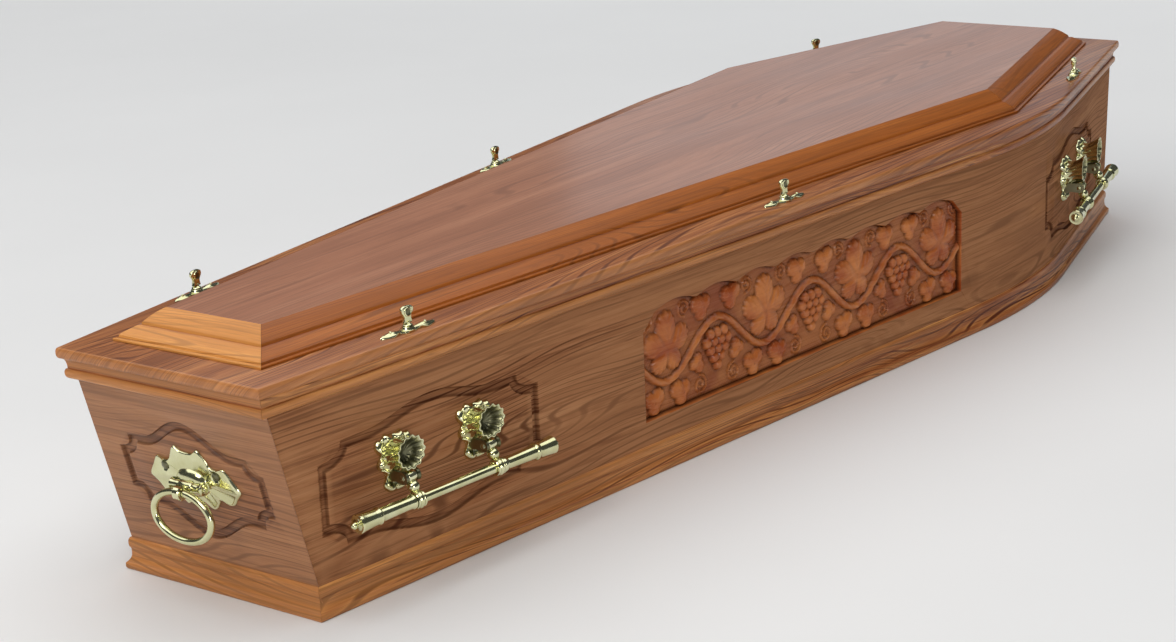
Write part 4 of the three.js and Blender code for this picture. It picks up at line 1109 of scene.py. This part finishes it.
def hood():
    """A fluted shell that flares out over the hinge to an open mouth."""
    w, h = BRACKET_WIDTH / 2, BRACKET_HEIGHT / 2
    ovals = rounded([(0.10 * h, 0.68 * w, 0.72 * h, 2), (0.22 * h, 0.56 * w, 0.56 * h, 9),
                     (0.34 * h, 0.55 * w, 0.44 * h, 17), (0.44 * h, 0.63 * w, 0.48 * h, 26),
                     (0.5 * h, 0.72 * w, 0.55 * h, 32), (0.5 * h, 0.73 * w, 0.55 * h, HOOD_OUT),
                     (0.5 * h, 0.65 * w, 0.49 * h, HOOD_OUT - 0.4),
                     (0.47 * h, 0.5 * w, 0.38 * h, 27), (0.42 * h, 0.34 * w, 0.26 * h, 21),
                     (0.38 * h, 0.02 * w, 0.02 * h, 18)], 4)
    angle = circle(HOOD_SIDES)
    sections = []
    for centre, half_width, half_height, out in ovals:
        flute = 1 + 0.06 * np.cos(13 * angle) * min(max(out - 3, 0) / 14, 1)
        sections.append(np.stack([half_width * flute * np.cos(angle),
                                  centre + half_height * flute * np.sin(angle),
                                  np.full(HOOD_SIDES, out)], -1))
    return skin(sections)


def ear():
    """A lug from the wall to the hinge pin, seen with X out and Y up."""
    tip = np.radians(np.linspace(-100, 100, 17))
    round_end = np.stack([HINGE_OUT + EAR_RADIUS * np.cos(tip), EAR_RADIUS * np.sin(tip)], -1)
    root = rounded([(26, 6.6), (16, 5.6), (8, 7.6), (1, 11)], 4)[1:]
    outline = np.concatenate([round_end, root, root[::-1] * (1, -1)])
    return across_body(moved(thick_shape(outline[::-1], EAR_THICKNESS), y=-HINGE_DROP))


def bracket():
    w, h = BRACKET_WIDTH / 2, BRACKET_HEIGHT / 2
    outline = smooth_loop(both_sides(BRACKET_EDGE) * (w, h), 6)
    plate = relief_plate(outline, bracket_height, 22, (0, 2))
    ears = [moved(ear(), x=way * EAR_OFFSET) for way in (-1, 1)]
    reach = EAR_OFFSET + EAR_THICKNESS / 2
    head = [(0.05, reach + 1.9), (1.8, reach + 1.6), (3.2, reach + 0.8), (3.6, reach - 0.3)]
    half = head + [(HINGE_PIN_RADIUS, reach - 0.5), (HINGE_PIN_RADIUS, 0.5)]
    pin = half + [(r, -x) for r, x in reversed(half)]
    pin = lathe_along(pin, 28, -HINGE_DROP, HINGE_OUT)
    nail = lathe([(2.6, 2.2), (2.6, 4.4), (1.9, 5.4), (0.05, 5.8)], 24)
    nails = [moved(nail, x=x, y=y) for x, y in ((-17.5, 24), (17.5, 24), (0, -28.5))]
    shell = hood()
    # Painted shade inside the hood's mouth and on the ears and hinge pin, where the joint lies in
    # shade
    section = np.arange(len(shell[0])) // HOOD_SIDES
    inward = np.clip((section - HOOD_LIP_SECTION) / 6, 0, 0.85)
    shade_paint = np.concatenate([np.zeros(len(plate[0])), inward, np.full(2 * len(ears[0][0]), 0.75),
                              np.full(len(pin[0]), 0.5), np.zeros(3 * len(nail[0]))])
    return *together(plate, shell, *ears, pin, *nails), shade_paint


def arm():
    """Hangs from the pin: a rounded eye, a ball, a flared neck and a collar round the bar."""
    out, down = BAR_OUT - HINGE_OUT, BAR_DROP - HINGE_DROP
    stem = [(0.05, -6.4), (3.2, -5.8), (5.2, -3.8), (6.0, -0.6), (5.2, 2.8), (4.0, 5.0)]
    stem += ball_profile(7.4, 12.0, -60, 64)
    stem += [(3.6, 18.2), (4.2, 19.2), (6.0, 20.4), (7.6, 21.4), (7.2, 22.6), (3.0, 24)]
    stem = turned(lathe(stem, 32), math.atan2(down, out), "X")
    collar = [(10.6, 0), (10.4, 1.0), (9.6, 2.2), (8.9, 3.2), (9.7, 4.2), (9.7, 5.2), (8.8, 6.0),
              (6.5, 6.0)]
    collar = [(r, -x) for r, x in reversed(collar[1:])] + collar
    collar = lathe_along(collar, 40, -down, out, loop=True)
    eye = with_mirror([(6.9, 5.0), (6.2, 5.9), (3.2, 5.9)])
    eye = lathe_along(eye, 32, 0, 0, loop=True)
    return moved(together(stem, collar, eye), y=-HINGE_DROP, z=HINGE_OUT)


def bar():
    end = BAR_LENGTH / 2
    half = [(6.0, 0.5), (6.0, 30), (6.0, 55), (6.0, 68.5), (8.0, 68.7), (8.7, 69.8), (8.7, 72.4),
            (7.7, 73.6), (7.5, 76), (7.8, 92), (8.4, 114), (8.6, 119.4), (10.0, 120.4),
            (10.5, 122), (10.0, 123.6), (9.3, 124.6), (9.6, 128), (10.4, 140), (11.0, 147),
            (11.3, 149), (11.2, 150.4), (10.2, 151.2), (8.4, 151.0), (4.0, 151.4), (3.2, 152.2),
            (3.4, 153)]
    half += ball_profile(4.3, end - 4.3, -40, 90, 10)
    return lathe_along(with_mirror(half), 40, -BAR_DROP, BAR_OUT)


*bracket_body, bracket_shade_paint = bracket()
arm_body, bar_body = arm(), bar()
for side, hand in (("left", -1), ("right", 1)):
    for end, from_foot in HANDLES_FROM_FOOT.items():
        frame_on_wall = side_frame(hand, from_foot, HANDLE_HEIGHT)
        body = f"handle_{side}_{end}"
        for letter, way in (("a", -1), ("b", 1)):
            place = frame_on_wall @ Matrix.Translation((way * BRACKET_SPACING / 2, 0, 0))
            brass_piece(f"bracket_{side}_{end}_{letter}", bracket_body, place,
                        painted_shade=bracket_shade_paint)
            brass_piece(f"arm_{side}_{end}_{letter}", arm_body, place, body)
        brass_piece(f"bar_{side}_{end}", bar_body, frame_on_wall, body)

# Ring handles

RING_PLATE_EDGE = [(0.12, -0.82), (0.3, -1), (0.42, -0.78), (0.5, -0.6), (0.62, -0.6), (0.76, -0.7),
                   (0.88, -0.46), (1, -0.18), (0.88, 0.18), (0.74, 0.5), (0.6, 0.44), (0.46, 0.5),
                   (0.38, 0.74), (0.26, 1), (0.12, 0.86)]
FASTENER = (40, 10)


def ring_plate_height(share, x, y):
    """Two leaves with a raised middle rib and a dished fastener seat in each."""
    rim = np.clip((1 - share) / 0.05, 0, 1) ** 0.5
    rib = np.exp(-(((y + 0.12 * np.abs(x) - 2) / 3.5) ** 2)) * np.clip(np.abs(x) / 40, 0, 1)
    rays = np.cos(np.arctan2(y, np.abs(x) - 12) * 9) * share * np.clip((np.abs(x) - 16) / 12, 0, 1)
    away = np.hypot(np.abs(x) - FASTENER[0], y - FASTENER[1])
    seat = np.exp(-((away / 6.2) ** 4))
    bead = np.exp(-(((away - 7.4) / 1.1) ** 2))
    swell = 2.2 * np.clip(1 - share, 0, 1) ** 0.6
    return 1.0 + rim * (2.2 + swell + 0.9 * rib + 0.5 * rays) * (1 - 0.75 * seat) + 0.8 * bead * rim


def ring_plate():
    size = (RING_PLATE_WIDTH / 2, RING_PLATE_HEIGHT / 2)
    outline = smooth_loop(both_sides(RING_PLATE_EDGE) * size, 5)
    plate = relief_plate(outline, ring_plate_height, 30)
    barrel = [(0.05, -29), (2.6, -28.6), (3.6, -27.2), (3.2, -25.8), (5.4, -25.4), (7.0, -24.4),
              (7.2, -22.6), (6.4, -21.4), (6.2, -18), (6.6, -14), (6.2, -10.6), (7.2, -9.8),
              (7.6, -8.4), (7.6, 0)]
    barrel = barrel + [(r, -x) for r, x in reversed(barrel[:-1])]
    barrel = lathe_along(barrel, 40, -RING_PIVOT_DROP, RING_BARREL_OUT)
    saddle = [(26, 3), (24.5, 6), (21, 9), (17, 11.4), (10, 12.6), (0.5, 13)]
    points, faces = lathe(saddle, 56)
    saddle = moved((points * (1, 0.72, 1), faces), y=-RING_PIVOT_DROP)
    eye = with_mirror([(8.8, 3.8), (7.6, 4.9), (4.9, 4.9)])
    eye = lathe_along(eye, 36, -RING_PIVOT_DROP, RING_PIVOT_OUT, loop=True)
    neck = moved(lathe([(5.6, 10), (5.2, 16), (4.4, 19.4)], 24), y=-RING_PIVOT_DROP)
    screw = lathe([(5.2, 1.2), (5.2, 4.0), (4.2, 5.0), (0.05, 5.6)], 24)
    heads = [moved(screw, x=way * FASTENER[0], y=FASTENER[1]) for way in (-1, 1)]
    points, faces = together(plate, saddle, barrel, neck, eye, *heads)
    # Painted shade: the two screw heads are painted dark, like shadowed holes
    shade_paint = np.zeros(len(points))
    shade_paint[-2 * len(screw[0]):] = 0.85
    return points, faces, shade_paint


def ring():
    """An oval ring of round bar that hangs from a straight length at its top."""
    a, b = RING_WIDTH / 2, RING_DROP / 2
    half_step = math.pi / RING_STEPS
    top = b * math.cos(half_step)
    turn = np.linspace(half_step, 2 * math.pi - half_step, 60)
    straight = np.linspace(-1, 1, 6)[1:-1] * a * math.sin(half_step)
    x = np.concatenate([a * np.sin(turn), straight])
    y = np.concatenate([b * np.cos(turn) - top, np.zeros(4)])
    path = np.stack([x, y], -1)
    along = np.roll(path, -1, 0) - np.roll(path, 1, 0)
    along /= np.linalg.norm(along, axis=1, keepdims=True)
    around = circle(18)
    radius = RING_TUBE_RADIUS * RING_TUBE_SHRINK
    side = radius * np.cos(around)
    sections = [np.stack([px + ty * side, py - tx * side, radius * np.sin(around)], -1)
                for (px, py), (tx, ty) in zip(path, along)]
    return skin(sections, loop=True)


*ring_plate_body, ring_plate_shade_paint = ring_plate()
ring_body = ring()
for end, lean in (("foot", FOOT_LEAN), ("head", HEAD_LEAN)):
    place = end_frame(end, RING_HEIGHT)
    brass_piece(f"ring_plate_{end}", ring_plate_body, place, painted_shade=ring_plate_shade_paint)
    hanging = Matrix.Translation((0, -RING_PIVOT_DROP, RING_PIVOT_OUT))
    hanging = hanging @ Matrix.Rotation(-math.atan(lean / CASE_HEIGHT), 4, "X")
    brass_piece(f"ring_{end}", ring_body, place @ hanging, f"ring_handle_{end}")

# Lid screws

SCREW_PIN_OFFSET = 26
SCREW_PLATE_CORNER = [(0.8, 0.66), (0.62, 0.98), (0.48, 0.86), (0.36, 0.6), (0.25, 0.74),
                      (0.16, 1), (0.06, 1.05)]
SCREW_PLATE_EDGE = [(x, -y) for x, y in reversed(SCREW_PLATE_CORNER)] + [(0.98, 0)]
SCREW_PLATE_EDGE += SCREW_PLATE_CORNER


def screw_plate():
    size = (SCREW_PLATE_LENGTH / 2, SCREW_PLATE_WIDTH / 2)
    outline = smooth_loop(both_sides(SCREW_PLATE_EDGE) * size, 5)

    def height(share, x, y):
        rim = np.clip((1 - share) / 0.08, 0, 1) ** 0.5
        rib = 0.9 * np.exp(-((y / 1.8) ** 2))
        bulb = 2.4 * np.exp(-(((np.abs(x) - SCREW_PIN_OFFSET) / 9) ** 2)) * (1 - share**2)
        return 0.8 + rim * (1.7 + rib + bulb)

    plate = relief_plate(outline, height, 20)
    boss = lathe([(3.3, 0.6), (8.4, 0.6), (8.6, 2.6), (7.4, 3.8), (7.2, 5.0),
                  (6.4, SCREW_BOSS_HEIGHT), (3.4, SCREW_BOSS_HEIGHT)], 36, loop=True)
    pin = lathe([(1.7, 2.8), (1.7, 5.7), (0.9, 6.2), (0.05, 6.3)], 18)
    return together(plate, boss, *[moved(pin, x=way * SCREW_PIN_OFFSET) for way in (-1, 1)])


def thumbscrew():
    seat = SCREW_BOSS_HEIGHT + 0.4
    shaft = [(0.05, SCREW_BOTTOM), (2.2, SCREW_BOTTOM + 0.3), (SCREW_RADIUS, SCREW_BOTTOM + 2)]
    shaft += [(SCREW_RADIUS, seat), (5.4, seat), (6.0, seat + 0.7), (5.6, seat + 1.6),
              (4.2, seat + 2.4), (3.1, seat + 3.4), (3.0, seat + 4.6), (3.8, seat + 5.6),
              (2.0, seat + 6.6)]
    shaft = lathe(shaft, 28)
    half = [(0.2, 0.0), (0.68, 0.02), (0.64, 0.14), (0.58, 0.3), (0.66, 0.46), (0.9, 0.6),
            (1, 0.74), (0.9, 0.9), (0.5, 0.99), (0.12, 1.0)]
    outline = smooth_loop(both_sides(half) * (THUMB_WIDTH / 2, THUMB_HEIGHT), 5)
    grip = turned(thick_shape(outline, 5, 1.6), math.pi / 2, "X")
    grip = moved(grip, z=THUMB_BOTTOM)
    front = [(0.05, -2.7), (2.4, -2.7), (3.2, -3.0), (4.2, -3.6), (5.2, -3.2), (5.7, -1.8)]
    dish = turned(lathe(front + [(r, -d) for r, d in reversed(front)], 28), math.pi / 2, "X")
    distance = np.hypot(dish[0][:, 0], dish[0][:, 2])
    dish = moved(dish, z=THUMB_BOTTOM + THUMB_DISH_SHARE * THUMB_HEIGHT)
    # Painted shade in the middle of the dish
    recess_shade = np.where(distance < 3.4, 0.85, 0.0)
    shade_paint = np.concatenate([np.zeros(len(shaft[0]) + len(grip[0])), recess_shade])
    return *together(shaft, grip, dish), shade_paint


screw_plate_body = screw_plate()
*thumbscrew_body, thumbscrew_shade_paint = thumbscrew()
(foot_x, foot_y), _, (head_x, head_y) = corners(lid_level(SCREW_INSET, LEDGE))
for side, hand in (("left", -1), ("right", 1)):
    for where, from_foot in SCREWS_FROM_FOOT.items():
        x = FOOT_X + from_foot
        if where == "head":
            y, turn = -head_y + math.tan(SHORT_ANGLE) * (head_x - x), -SHORT_ANGLE
        else:
            y, turn = -foot_y + math.tan(LONG_ANGLE) * (x - foot_x), LONG_ANGLE
        place = Matrix.Translation((x, hand * y, LEDGE)) @ Matrix.Rotation(hand * turn, 4, "Z")
        brass_piece(f"screw_plate_{side}_{where}", screw_plate_body, place)
        brass_piece(f"thumbscrew_{side}_{where}", thumbscrew_body, place,
                    f"lid_screw_{side}_{where}", thumbscrew_shade_paint)

# Camera at the photograph's viewpoint: place, lens and the directions right, up and back
CAMERA_POSITION = (-2.65011, -1.88273, 1.06247)
CAMERA_LENS = 72.708
CAMERA_AXES = (
    (0.6013895, -0.79671934, -0.05974084),
    (0.26872835, 0.1312936, 0.9542259),
    (-0.75240664, -0.58991549, 0.29305967),
)
camera_data = bpy.data.cameras.new("camera")
camera_data.sensor_width = 36
camera_data.lens = CAMERA_LENS
camera = bpy.data.objects.new("camera", camera_data)
bpy.context.collection.objects.link(camera)
view_axes = Matrix(CAMERA_AXES).transposed()
camera.matrix_world = Matrix.Translation(CAMERA_POSITION) @ view_axes.to_4x4()
bpy.context.scene.camera = camera


def softbox(name, position, target, size_x, size_y, power, colour=(1, 1, 1)):
    data = bpy.data.lights.new(name, "AREA")
    data.shape = "RECTANGLE"
    data.size = size_x
    data.size_y = size_y
    data.energy = power
    data.color = colour
    light = bpy.data.objects.new(name, data)
    bpy.context.collection.objects.link(light)
    light.location = position
    light.rotation_euler = (Vector(target) - Vector(position)).to_track_quat("-Z", "Y").to_euler()


# Metres from here on
OVERHEAD_CENTRE = (-0.8, 1.8, 0)
GLOW_START = 6.0
GLOW_STRENGTH = 0.7

softbox("overhead", (-0.8, 1.8, 5.5), OVERHEAD_CENTRE, 11.0, 11.0, 540)
softbox("key", (-4.6, -0.4, 3.4), (-0.7, 0, 0.2), 1.6, 1.6, 62, (1.0, 0.96, 0.90))
softbox("fill", (-3.4, -3.9, 0.9), (-0.4, 0, 0.1), 1.6, 1.2, 40, (1.0, 0.97, 0.93))
softbox("back", (5.4, 2.6, 1.5), (0.4, 0, 0.3), 3.0, 1.6, 10, (0.75, 0.9, 1.0))

world = bpy.data.worlds.new("world")
world.use_nodes = True
backdrop = world.node_tree.nodes["Background"]
backdrop.inputs["Color"].default_value = (0.9, 0.95, 1.0, 1)
backdrop.inputs["Strength"].default_value = 0.08
bpy.context.scene.world = world
bpy.context.scene.view_settings.view_transform = "Standard"

FLOOR_REACH = 40
corner_signs = ((-1, -1), (1, -1), (1, 1), (-1, 1))
floor_mesh = bpy.data.meshes.new("floor")
floor_mesh.from_pydata([(x * FLOOR_REACH, y * FLOOR_REACH, 0) for x, y in corner_signs], [],
                       [(0, 1, 2, 3)])
floor = bpy.data.objects.new("floor", floor_mesh)
bpy.context.collection.objects.link(floor)
paint = Nodes("floor")
floor_place = paint.add("TexCoord").outputs["Object"]
floor_tone = paint.ramp(paint.noise(floor_place, 1.5, (1, 1, 1)), (0.3, 0.79), (0.7, 0.81))
paint.wire(paint.shader.inputs["Base Color"], floor_tone)
paint.shader.inputs["Roughness"].default_value = 0.8
# Beyond the overhead light the floor glows a little, so that it stays pale to the horizon
away = paint.add("VectorMath", {0: floor_place, 1: OVERHEAD_CENTRE}, operation="DISTANCE")
far = paint.math("POWER", paint.math("DIVIDE", away.outputs["Value"], GLOW_START), 4.0)
glow = paint.math("DIVIDE", far, paint.plus(far, 1.0))
paint.wire(paint.shader.inputs["Emission Strength"], paint.times(glow, GLOW_STRENGTH))
paint.shader.inputs["Emission Color"].default_value = (1, 1, 1, 1)
floor_mesh.materials.append(paint.material)
